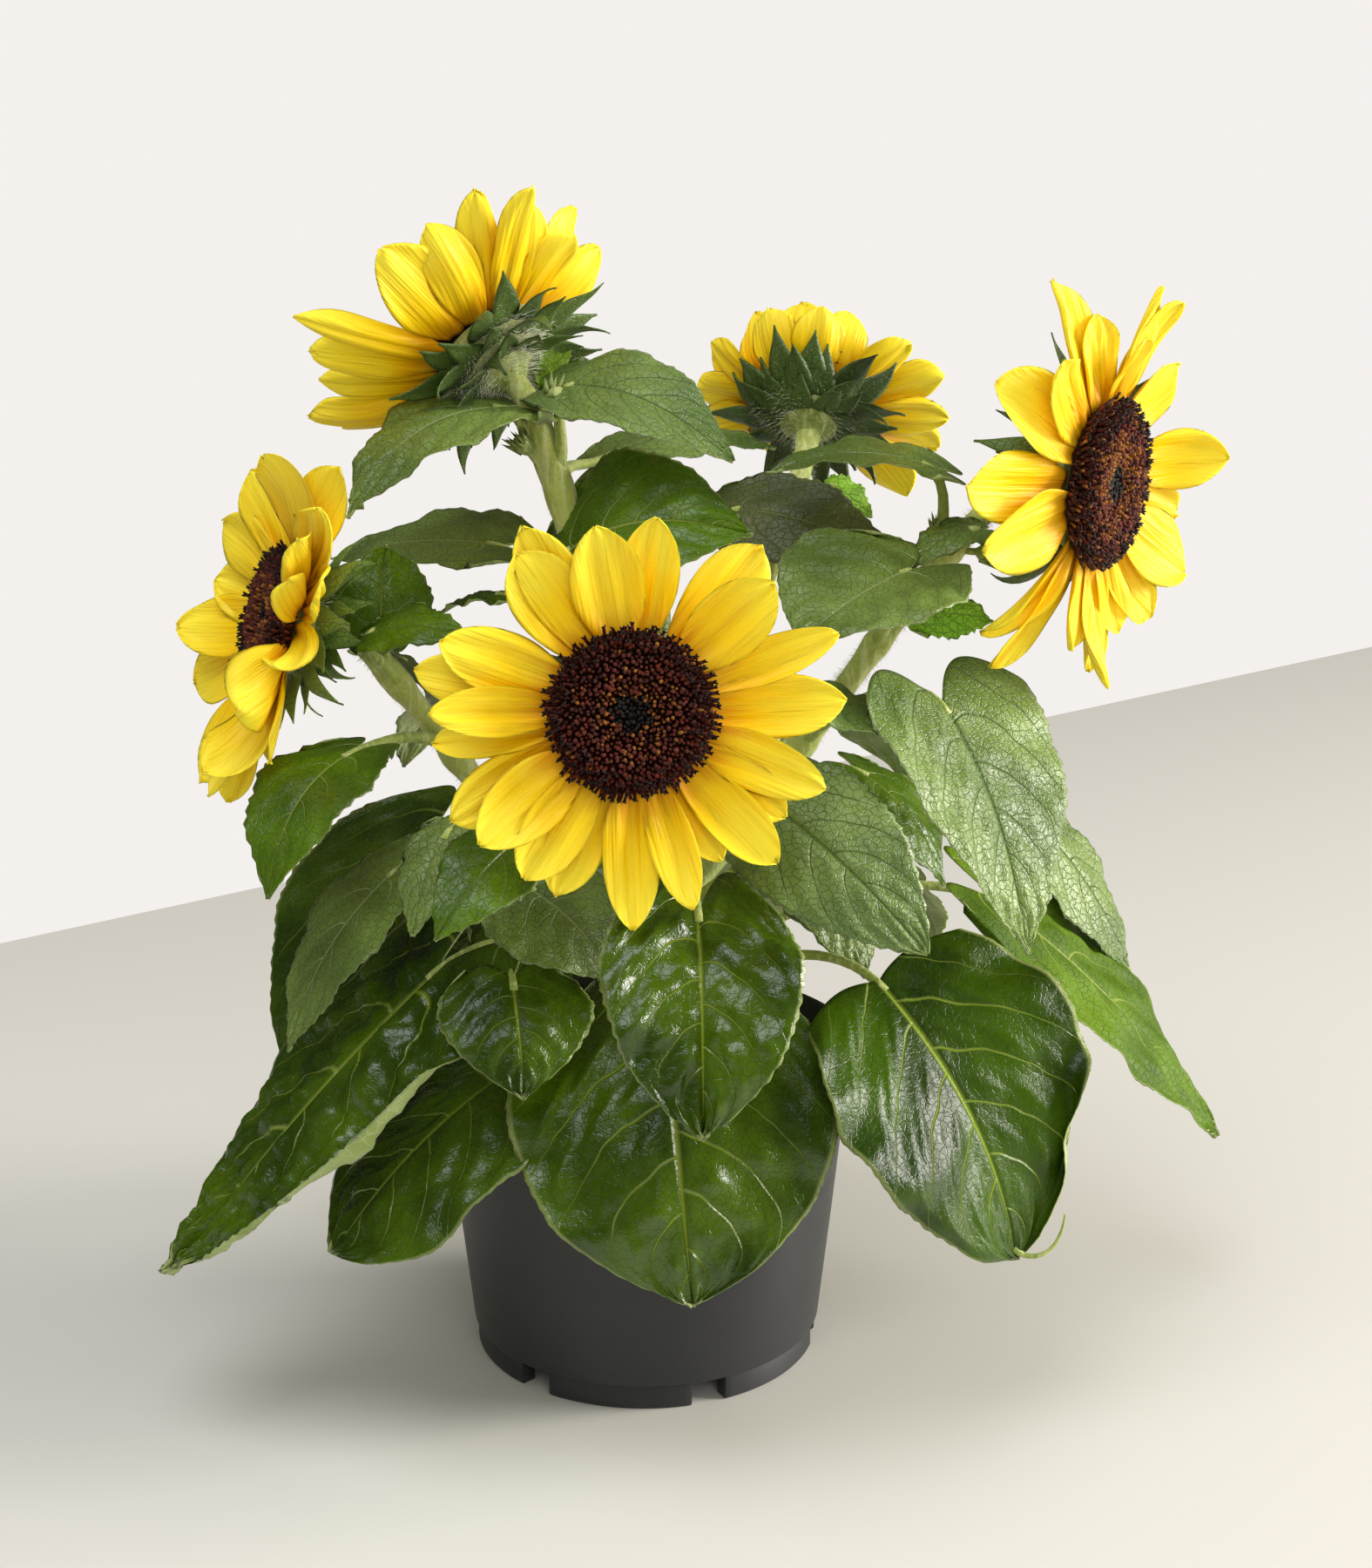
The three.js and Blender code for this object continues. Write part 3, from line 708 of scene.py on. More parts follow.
@dataclass(frozen=True)
class PetalFinish:
    """A ray: deeper at its foot, lemon towards its tip, with fine lengthwise lines."""

    name: str
    foot: str
    middle: str
    tip: str
    line: str

    RELIEF = 0.0014

    def build(self) -> Material:
        """The finish's material."""
        material, wiring = new_material(self.name)
        along = wiring.node("SeparateXYZ", {0: wiring.place("pattern")}).outputs[1]
        lines = wiring.noise(wiring.place("flat"), 520.0, 2.0, (1.0, 0.05, 1.0))
        clouds = wiring.noise(wiring.objects(), 55.0, 2.0)
        reach = wiring.plus(along, wiring.times(wiring.minus(lines, 0.5), 0.55))
        colour = shade(self.foot)
        for mask, code in (
            (wiring.span(reach, 0.02, 0.42, 0.0, 1.0), self.middle),
            (wiring.span(reach, 0.35, 1.0, 0.0, 1.0), self.tip),
            (wiring.span(lines, 0.5, 0.72, 0.0, 0.45), self.line),
            (wiring.span(clouds, 0.4, 0.75, 0.0, 0.35), self.tip),
        ):
            colour = wiring.mix(mask, colour, shade(code))
        wiring.surface(
            colour, 0.44, lines, self.RELIEF, Specular_IOR_Level=0.2,
            Subsurface_Weight=0.25, Subsurface_Radius=(1.0, 0.7, 0.02), Subsurface_Scale=0.002,
        )
        return material


@dataclass(frozen=True)
class GrainFinish:
    """A granular finish of two mixed colours."""

    name: str
    deep: str
    light: str
    roughness: float
    scale: float
    relief: float

    def build(self) -> Material:
        """The finish's material."""
        material, wiring = new_material(self.name)
        mottle = wiring.group("mottle", {"Vector": wiring.objects(), "Scale": self.scale})
        blend = wiring.weighed((mottle["Patches"], 0.6), (mottle["Specks"], 0.4))
        colour = wiring.mix(blend, shade(self.deep), shade(self.light))
        roughness = wiring.plus(wiring.times(mottle["Specks"], 0.1), self.roughness)
        wiring.surface(colour, roughness, mottle["Specks"], self.relief)
        return material


@dataclass(frozen=True)
class PotFinish:
    """Matte moulded plastic: fine grain, faint rings from its mould and dusty rubbed patches."""

    name: str
    body: str
    rubbed: str
    dust: str

    ROUGHNESS = 0.38
    RELIEF = 0.0001

    def build(self) -> Material:
        """The finish's material."""
        material, wiring = new_material(self.name)
        place = wiring.objects()
        mottle = wiring.group("mottle", {"Vector": place, "Scale": 18.0})
        rings = wiring.noise(place, 160.0, 1.0, (0.02, 0.02, 1.0))
        grain = wiring.noise(place, 2600.0, 2.0)
        colour = wiring.layered(shade(self.body), (mottle["Patches"], 0.5, self.rubbed))
        colour = wiring.mix(wiring.span(grain, 0.62, 0.8, 0.0, 0.3), colour, shade(self.dust))
        uneven = wiring.weighed((rings, 0.12), (mottle["Patches"], 0.08))
        height = wiring.weighed((rings, 0.35), (grain, 0.5))
        wiring.surface(colour, wiring.plus(uneven, self.ROUGHNESS), height, self.RELIEF)
        return material


class Look(Enum):
    """The finishes of the plant and its pot."""

    GLOSSY = LeafFinish("leaf_glossy", "263b01", "486303", "8c9e34", "a9b56a", 0.18, 0.0, 0.1, 0.55)
    DEEP = LeafFinish("leaf_deep", "203401", "3a5602", "93a83a", "a9b56a", 0.22, 0.0, 0.1, 0.3)
    MATT = LeafFinish("leaf_matt", "446003", "648410", "98a84c", "b4c078", 0.45, 0.0, 0.2, 0.2)
    FRESH = LeafFinish("leaf_fresh", "385403", "587808", "98a84c", "b4c078", 0.26, 0.0, 0.15, 0.5)
    GREY = LeafFinish("leaf_grey", "52681c", "728a34", "98a862", "98a468", 0.34, 0.03, 0.3, 0.8)
    # Sage green: its dark vein colour is painted shade where the sheen breaks at the veins, and its pale body
    # is partly painted sheen
    SAGE = LeafFinish("leaf_sage_painted_sheen", "4e6a18", "769038", "4a681c", "a4b47c", 0.34, 0.12, 0.35, 0.9)
    # The grey leaf's colours painted darker, as painted shade for leaves that sit in shadow deep in the plant
    DUSK = LeafFinish("leaf_grey_painted_shade", "3a4614", "585f28", "7d8650", "7f8858", 0.42, 0.02, 0.25)
    # Young leaf green, partly its own fresh colour and partly painted light shining through the leaf from
    # behind
    YOUNG = LeafFinish("leaf_young_backlit", "7cbc1c", "a6d83c", "bcd86a", "aed058", 0.4, 0.0, 0.4)
    UNDERSIDE = UndersideFinish("leaf_underside", "86984a", "a4b46c", "c0c890")
    STEM = StemFinish("stem_skin", "96a43c", "bcc65c", "d6da98")
    STALK = StemFinish("stalk_skin", "849836", "a8b650", "ccd288")
    CUP = StemFinish("cup_skin", "74842c", "a2ac50", "c8cc90")
    DOWN = GrainFinish("down_hair", "d4d9b0", "f0f1dc", 0.7, 90.0, 0.0001)
    BRACT = LeafFinish("bract_green", "3a5210", "5c7826", "8c9c48", "a3ae64", 0.42, 0.04, 0.3)
    PALE_BRACT = LeafFinish("bract_pale", "5e7c1c", "86a444", "a8ba66", "b8c880", 0.42, 0.04, 0.3)
    DARK_BRACT = LeafFinish("bract_dark", "2c400a", "46601a", "7c8c3e", "94a058", 0.42, 0.02, 0.3)
    PETAL = PetalFinish("ray_yellow", "e09600", "f8c803", "ffe63c", "eaa800")
    MAROON = GrainFinish("floret_maroon", "300a00", "7c2a0c", 0.6, 220.0, 0.0002)
    AMBER = GrainFinish("floret_amber", "6a3206", "b8761c", 0.6, 220.0, 0.0002)
    EYE = GrainFinish("floret_eye", "120e0c", "2e2620", 0.6, 260.0, 0.0002)
    KNOB = GrainFinish("floret_knob", "0f0503", "2c0f0a", 0.5, 260.0, 0.0002)
    BED = GrainFinish("disc_bed", "170805", "36140c", 0.85, 300.0, 0.0004)
    SOIL = GrainFinish("soil_crumb", "17100b", "3a2a1e", 0.92, 120.0, 0.0008)
    CHIP = GrainFinish("soil_chip", "5b4632", "8a7152", 0.85, 140.0, 0.0006)
    POT = PotFinish("pot_plastic", "27282a", "303133", "4a4b4d")

    def material(self) -> Material:
        """The finish's material, made on first use."""
        return bpy.data.materials.get(self.value.name) or self.value.build()


# Gap that keeps neighbouring bodies of a bloom apart, and the height of the soil's middle
CLEARANCE = 0.3
SOIL_MIDDLE = 113.0


@dataclass(frozen=True)
class StemPlan:
    """How a stem runs from its foot to the neck under its bloom, as in the frame."""

    foot: Numbers | float
    leave: Numbers
    neck: Numbers
    arrive: float
    heading: float
    rise: float
    radii: tuple[float, float]


STEMS: dict[str, StemPlan] = {
    "main": StemPlan((4, 6, SOIL_MIDDLE - 6), (-16, 4, 116), (-48, 0, 390), 40, -134, 34, (6.3, 3.7)),
    "left": StemPlan(0.17, (-52, -8, 48), (-120, -12, 300), 28, -68, 16, (4.6, 4.0)),
    "front": StemPlan(0.28, (2, -35, 50), (-6, -98, 288), 32, 5, 8, (4.6, 4.2)),
    "right": StemPlan(0.24, (58, -4, 36), (157, 1, 354), 40, 56, -3, (5.0, 4.2)),
    "back": StemPlan(0.4, (50, 15, 50), (66, 52, 364), 30, 170, 44, (4.4, 4.0)),
}


def stem_limb(name: str) -> Limb:
    """The curve of a stem, in millimetres."""
    plan = STEMS[name]
    foot = np.array(plan.foot, float) if name == "main" else stem_limb("main").at(plan.foot)
    neck = np.array(plan.neck, float)
    before = neck - direction(plan.heading, plan.rise) * plan.arrive
    return Limb((foot, foot + np.array(plan.leave), before, neck))


def hair_axes(normals: Array, along: Array, lean: Array) -> Array:
    """Axes for hairs that stand on a surface.

    Args:
        normals: Unit normals of the surface.
        along: A direction for each hair to lean towards.
        lean: How far each leans.

    Returns:
        Three rows for each hair, the last of them the way it stands.
    """
    stand = unit(normals + along * lean[:, None])
    return axes_along(stand, normals + 0.37 * along[:, ::-1] + 0.11)


def hair(length: float, radius: float, slot: int) -> Form:
    """One tapering three-sided hair that stands on the origin."""
    angle = np.arange(3) * math.tau / 3
    ring = np.stack([np.cos(angle) * radius, np.sin(angle) * radius, np.full(3, -0.3)], 1)
    points = np.concatenate([ring, [[0.0, 0.0, length]]])
    faces = np.array([[0, 1, 3], [1, 2, 3], [2, 0, 3], [0, 2, 1]])
    return Form(points, faces, np.zeros((4, 4)), np.full(4, slot))


def turned(profile: Sequence[Numbers], sides: int, slot: int, lumps: float = 0.0) -> Form:
    """A round body about the Z axis.

    Args:
        profile: Radius and height of each ring, from the axis to the axis, up its outside.
        sides: Faces round it.
        slot: Its material place.
        lumps: Height of its unevenness.

    Returns:
        Its form.
    """
    rings = np.array(profile, float)
    angle = np.arange(sides) * math.tau / sides
    radius = rings[:, :1] + lumps * np.sin(angle * 5 + rings[:, 1:] * 0.8) * (rings[:, :1] > 1)
    points = np.stack([radius * np.cos(angle), radius * np.sin(angle), rings[:, 1:] + 0 * angle], -1)
    points = points.reshape(-1, 3)
    count = len(rings)
    number = np.arange(count * sides).reshape(count, sides)
    number[0], number[-1] = number[0, 0], number[-1, 0]
    near, far = number[:-1], number[1:]
    faces = quads_to_triangles([near, np.roll(near, -1, 1), np.roll(far, -1, 1), far])
    used = np.unique(faces)
    lookup = np.zeros(len(points), int)
    lookup[used] = np.arange(len(used))
    places = np.zeros((len(used), 4))
    places[:, 2:] = points[used][:, :2]
    return Form(points[used], lookup[faces], places, np.full(len(faces), slot))


@dataclass
class Stem:
    """A hairy tapering stem with swollen joints, and the downy hairs on it."""

    name: str
    joints: Sequence[float]
    hair_density: float = 0.5
    hair_length: float = 2.3
    hair_radius: float = 0.09
    joint_swell: float = 1.1
    joint_reach: float = 5.5
    rib_height: float = 0.16
    lump_height: float = 0.2
    neck_swell: float = 0.9

    def skin(self) -> Object:
        """The stem's body: a curve with a tapering bevel, made a mesh, cut flat and given its relief."""
        plan, limb = STEMS[self.name], stem_limb(self.name)
        select_only()
        bpy.ops.curve.primitive_bezier_curve_add(location=(0, 0, 0))
        curve = bpy.context.object
        spline = curve.data.splines[0]
        a, b, c, d = (Vector(point * MM) for point in limb.controls)
        for point, place, before, after, radius in (
            (spline.bezier_points[0], a, a * 2 - b, b, plan.radii[0]),
            (spline.bezier_points[1], d, c, d * 2 - c, plan.radii[1]),
        ):
            point.handle_left_type = point.handle_right_type = "FREE"
            point.co, point.handle_left, point.handle_right = place, before, after
            point.radius = radius
        spline.resolution_u = 64
        curve.data.bevel_depth = MM
        curve.data.bevel_resolution = 5
        curve.data.use_fill_caps = True
        bpy.ops.object.convert(target="MESH")
        stem = bpy.context.object
        stem.name = f"stem_{self.name}_skin"
        if self.name == "main":
            bpy.ops.object.mode_set(mode="EDIT")
            bpy.ops.mesh.select_all(action="SELECT")
            ground = (0, 0, (SOIL_MIDDLE - 2) * MM)
            bpy.ops.mesh.bisect(plane_co=ground, plane_no=(0, 0, 1), use_fill=True, clear_inner=True)
            bpy.ops.object.mode_set(mode="OBJECT")
        self.swell(stem, limb)
        bpy.ops.object.shade_smooth()
        stem.data.materials.clear()
        stem.data.materials.append(Look.STEM.material())
        return stem

    def swell(self, stem: Object, limb: Limb) -> None:
        """Swell the stem at its joints, and give it low ribs and lumps."""
        mesh = stem.data
        points = np.empty(len(mesh.vertices) * 3, np.float32)
        mesh.vertices.foreach_get("co", points)
        points = points.reshape(-1, 3) / MM
        middle, run = limb.sampled()
        nearest = np.argmin(((points[:, None] - middle[None]) ** 2).sum(-1), axis=1)
        share = run[nearest] / run[-1]
        out = unit(points - middle[nearest])
        angle = np.arctan2(out[:, 1], out[:, 0])
        grow = np.zeros(len(points))
        for joint in self.joints:
            grow += self.joint_swell * np.exp(-(((share - joint) * run[-1] / self.joint_reach) ** 2))
        ribs = self.rib_height * np.sin(angle * 7 + share * 9)
        grow += ribs + self.lump_height * np.sin(share * run[-1] / 11 + angle * 2)
        grow += self.neck_swell * eased(0.94, 1.0, share)
        points = points + out * grow[:, None]
        mesh.vertices.foreach_set("co", (points * MM).astype(np.float32).ravel())
        mesh.update()

    def hairs(self) -> Form:
        """The hairs, spread evenly over the stem."""
        plan, limb = STEMS[self.name], stem_limb(self.name)
        around = math.pi * sum(plan.radii)
        count = int(limb.length() * around * self.hair_density)
        index = np.arange(count)
        share = (index + 0.5) / count
        turn = index * GOLDEN_TURN + 0.5 * chances(count, 2)
        middle = limb.at(share)
        along = unit(limb.at(np.minimum(share + 0.002, 1)) - limb.at(np.maximum(share - 0.002, 0)))
        first = unit(np.cross(along, ASIDE))
        out = first * np.cos(turn)[:, None] + np.cross(along, first) * np.sin(turn)[:, None]
        radius = plan.radii[0] + (plan.radii[1] - plan.radii[0]) * share
        keep = middle[:, 2] > SOIL_MIDDLE + 2
        axes = hair_axes(out, along, -0.2 + 0.5 * chances(count, 5))
        axes = axes * (1 + 0.4 * chances(count, 7))[:, None, None]
        origins = middle + out * radius[:, None]
        return hair(self.hair_length, self.hair_radius, 0).copies(axes[keep], origins[keep])

    def build(self) -> None:
        """Make the stem's pieces and seat them."""
        seat(self.skin(), "stem", f"stem_{self.name}")
        seat(make_object(f"stem_{self.name}_down", self.hairs(), [Look.DOWN.material()]), "stem")


# The rules of a leaf, as in the frame: the run of its lobes, the half width left at its tip, the radii and
# bends of its stalk and how far that runs under the blade, the blade's thickness there, and its droop
LOBE_ROUND, LOBE_TURN, LOBE_FADE = 0.94, 2.9, 3
TIP_HALF_WIDTH = 0.6
STALK_FOOT, STALK_END, STALK_RISE, STALK_ARRIVE, STALK_SUNK = 2.5, 1.7, 0.35, 0.3, 5.0
LEAF_THICKNESS = 1.7
DROOP = 0.5


@dataclass(frozen=True)
class Leaf:
    """One leaf: its place as in the frame, and how its blade is dressed.

    `stem` and `at` say where its stalk starts. `stalk` and `blade` are heading, rise and length, and `turn`
    is how far the blade is turned about its length. `arch` bends it along and `fold` across. `wave` is the
    height of its margin's waves, `pucker` that of the swellings between its veins, `blister` that of
    smaller ones and `teeth` the depth of its teeth, in millimetres. `rolls` turn up its left and right
    margins, in degrees, from the share `roll_from` across, within `roll_over`, and from `roll_start`
    along. `blunt` rounds its tip, `taper` draws it out, `shoulder` fills out its base, and `lobe` is how
    far its lobes reach behind the stalk. `tail` is the way from its tip to the end of a thin withered one.
    """

    stem: str
    at: float
    stalk: tuple[float, float, float]
    blade: tuple[float, float, float]
    width: float
    look: Look = Look.GREY
    turn: float = 0
    arch: float = 0.12
    fold: float = 10
    wave: float = 1.6
    pucker: float = 0.5
    rolls: tuple[float, float] = (0, 0)
    blunt: float = 0
    teeth: float = 0.9
    lobe: float = 0.19
    taper: float = 0.95
    blister: float = 0
    shoulder: float = 0
    roll_from: float = 0.45
    roll_over: float = 0.55
    roll_start: float = 0
    tail: Numbers = ()

    CELL = 1.7
    SHEET = 0.55
    RIB_THICK = 1.5
    RIB_HALF_WIDTH = 1.5

    def frame(self) -> tuple[Array, Array, Array, Array, Array]:
        """Foot of the stalk, start of the blade, and the blade's way along, upper side and first tangent."""
        foot = stem_limb(self.stem).at(self.at)
        base = foot + direction(*self.stalk[:2]) * self.stalk[2]
        along = direction(*self.blade[:2])
        upper = direction(self.blade[0], 0) * DROOP + UP
        upper = unit(upper - along * np.dot(upper, along))
        upper = turned_about(upper, along, self.turn)
        return foot, base, along, upper, unit(along + upper * 4 * self.arch)

    def outline(self, share: Array) -> Array:
        """Half width of the blade at each share of its length, with a rounder tip where it is blunt."""
        start = 0.08 + self.shoulder
        peak = max(0.0, (0.5 - self.taper * start) / (self.taper + 0.5))
        pointed = np.sqrt(share + start) * (1 - share) ** self.taper
        pointed = 0.985 * pointed / (math.sqrt(peak + start) * (1 - peak) ** self.taper)
        round_tip = 2.2 * np.sqrt(share + 0.08) * (1 - share**2.6) ** 0.75 * 0.8
        width = pointed + (np.minimum(round_tip, 1.06) - pointed) * self.blunt
        return np.maximum(self.width / 2 * width, TIP_HALF_WIDTH * (1 - 0.7 * share))

    def section(self, spread: Array, roll: float, share: Array) -> tuple[Array, Array]:
        """Run and rise of one half of each cross-section, from the midrib out, for a half width of one."""
        fold = math.radians(self.fold)
        bend = -fold * eased(0, 0.25, spread) + math.radians(self.fold * 0.7) * spread**2
        rolled = math.radians(roll) * eased(self.roll_from, min(1.0, self.roll_from + self.roll_over), spread)
        rolled = rolled * eased(self.roll_start, self.roll_start + 0.3, share)
        slope = bend + rolled * (1 - 0.3 * eased(0.8, 1, share))
        middle = (slope[:, 1:] + slope[:, :-1]) / 2
        step = np.diff(spread, axis=1)
        start = np.zeros((len(slope), 1))
        out = np.concatenate([start, np.cumsum(np.cos(middle) * step, axis=1)], axis=1)
        rise = np.concatenate([start, np.cumsum(np.sin(middle) * step, axis=1)], axis=1)
        return out, rise

    def relief(self, share: Array, across: Array, flat: Array, seed: float) -> Array:
        """Height of the blade's veins, swellings, waves and soft unevenness, in millimetres."""
        out = np.abs(across)
        inner = eased(0.02, 0.2, out) * (1 - eased(0.8, 1.0, out)) * eased(0, 0.1, share)
        phase = VEINS * (share - VEIN_CLIMB * out**VEIN_BEND) + np.where(across < 0, VEIN_SHIFT, 0)
        swell = np.sin(np.pi * phase) ** 2
        cross = np.sin(np.pi * (out * 3.4 + 0.35 * np.sin(phase * 7 + seed))) ** 2
        height = self.pucker * inner * (swell * (0.55 + 0.9 * cross) - 0.35)
        height -= (0.35 + 0.4 * self.pucker) * np.exp(-((out * self.width / 2 / 1.6) ** 2))
        for index in range(5):
            way = seed * 1.7 + index * 2.1
            place = flat[..., 0] * math.cos(way) + flat[..., 1] * math.sin(way)
            height += self.pucker * 0.32 * inner * np.sin(place / (9.0 + 6.0 * index) * 3 + way)
        bent = [flat[..., k] / 8.5 + 0.3 * np.sin(flat[..., 1 - k] / 6.5 + seed * (2 + k)) for k in (0, 1)]
        blisters = np.abs(np.sin(math.pi * bent[0]) * np.sin(math.pi * bent[1])) ** 0.8
        side = np.where(across < 0, 1.9, 0.4) + seed
        edge = out**2.6 * (1 - 0.5 * share)
        height += self.wave * edge * np.sin(math.tau * (share * 2.6 + side))
        height += self.blister * inner * blisters
        return height + self.wave * 0.35 * edge * np.sin(math.tau * (share * 6.1 + 2 * side))

    def blade_form(self, seed: float) -> Form:
        """The blade: a closed thin sheet with relief, waves and teeth."""
        _, base, along, upper, _ = self.frame()
        size = self.blade[2]
        rows = max(24, 3 * round(size / self.CELL / 3))
        columns = max(16, 2 * round(self.width / self.CELL / 2))
        share = np.linspace(0, 1, rows + 1)[:, None]
        even = np.linspace(-1, 1, columns + 1)[None]
        across = np.sign(even) * np.abs(even) ** 1.15
        half = self.outline(share)
        tooth = (np.arange(rows + 1) % 3)[:, None] / 2 - 0.5
        cut = self.teeth * tooth * eased(0.02, 0.1, share) * (1 - eased(0.93, 1.0, share))
        lobe = self.lobe * (1 - share) ** LOBE_FADE * np.sin(np.abs(across) ** LOBE_ROUND * LOBE_TURN)
        run = share - lobe
        lift = self.arch * 4 * run * (1 - run)
        middle = columns // 2
        right = self.section(across[:, middle:] + 0 * share, self.rolls[1], share)
        left = self.section(-across[:, middle::-1] + 0 * share, self.rolls[0], share)
        out = np.concatenate([-left[0][:, :0:-1], right[0]], axis=1)
        rise = np.concatenate([left[1][:, :0:-1], right[1]], axis=1)
        flat = np.stack([across * half, run * size], axis=-1)
        place = out * half
        place[:, :1] -= cut
        place[:, -1:] += cut
        way = np.cross(along, upper)
        grid = base + along * (run * size)[..., None] + way * place[..., None]
        grid = grid + upper * (lift * size + rise * half)[..., None]
        grid = grid + grid_normals(grid) * self.relief(share, across, flat, seed)[..., None]
        rib = np.exp(-((across * half / self.RIB_HALF_WIDTH) ** 2)) * (1 - share) ** 0.6
        thick = self.SHEET + self.RIB_THICK * rib
        pattern = np.stack([(across + 1) / 2 + 0 * share, share + 0 * across], axis=-1)
        return sheet(grid, thick, np.concatenate([pattern, flat], axis=-1), (0, 1))

    def stalk_form(self) -> Form:
        """The stalk, from the middle of its stem to under the blade, thicker at its foot."""
        foot, base, _, upper, tangent = self.frame()
        size = self.stalk[2]
        leave = unit(direction(self.stalk[0], 0) + UP)
        end = base + tangent * STALK_SUNK - upper * LEAF_THICKNESS * 0.7
        before = end - tangent * (size * STALK_ARRIVE + STALK_SUNK)
        limb = Limb((foot, foot + leave * size * STALK_RISE, before, end))

        def radius(share: Array) -> Array:
            """Radius at each share of the stalk's length."""
            return STALK_FOOT + (STALK_END - STALK_FOOT) * share + 0.9 * np.exp(-share * size / 9)

        return tube(limb, radius, 10, max(8, round(size / 5)), 2)

    def tail_form(self, blade: Form) -> Form:
        """The thin withered tip that curls away from the end of the blade."""
        along = direction(*self.blade[:2])
        tip = blade.points[np.argmax(blade.points @ along)]
        end = tip + np.array(self.tail)
        bend = np.array([self.tail[0] * 0.5, self.tail[1] * 0.5, 0.0])
        limb = Limb((tip - along * 5, tip + bend * 0.3, tip + bend * 1.8, end))
        return tube(limb, lambda share: 1.5 - 1.1 * share**0.6, 8, 14, 2)

    def build(self, name: str, seed: float) -> Object:
        """The leaf as one piece, still to be seated."""
        blade = self.blade_form(seed)
        forms = [blade, self.stalk_form()]
        if self.tail:
            forms.append(self.tail_form(blade))
        materials = [look.material() for look in (self.look, Look.UNDERSIDE, Look.STALK)]
        return make_object(f"leaf_{name}_blade", Form.join(forms), materials)


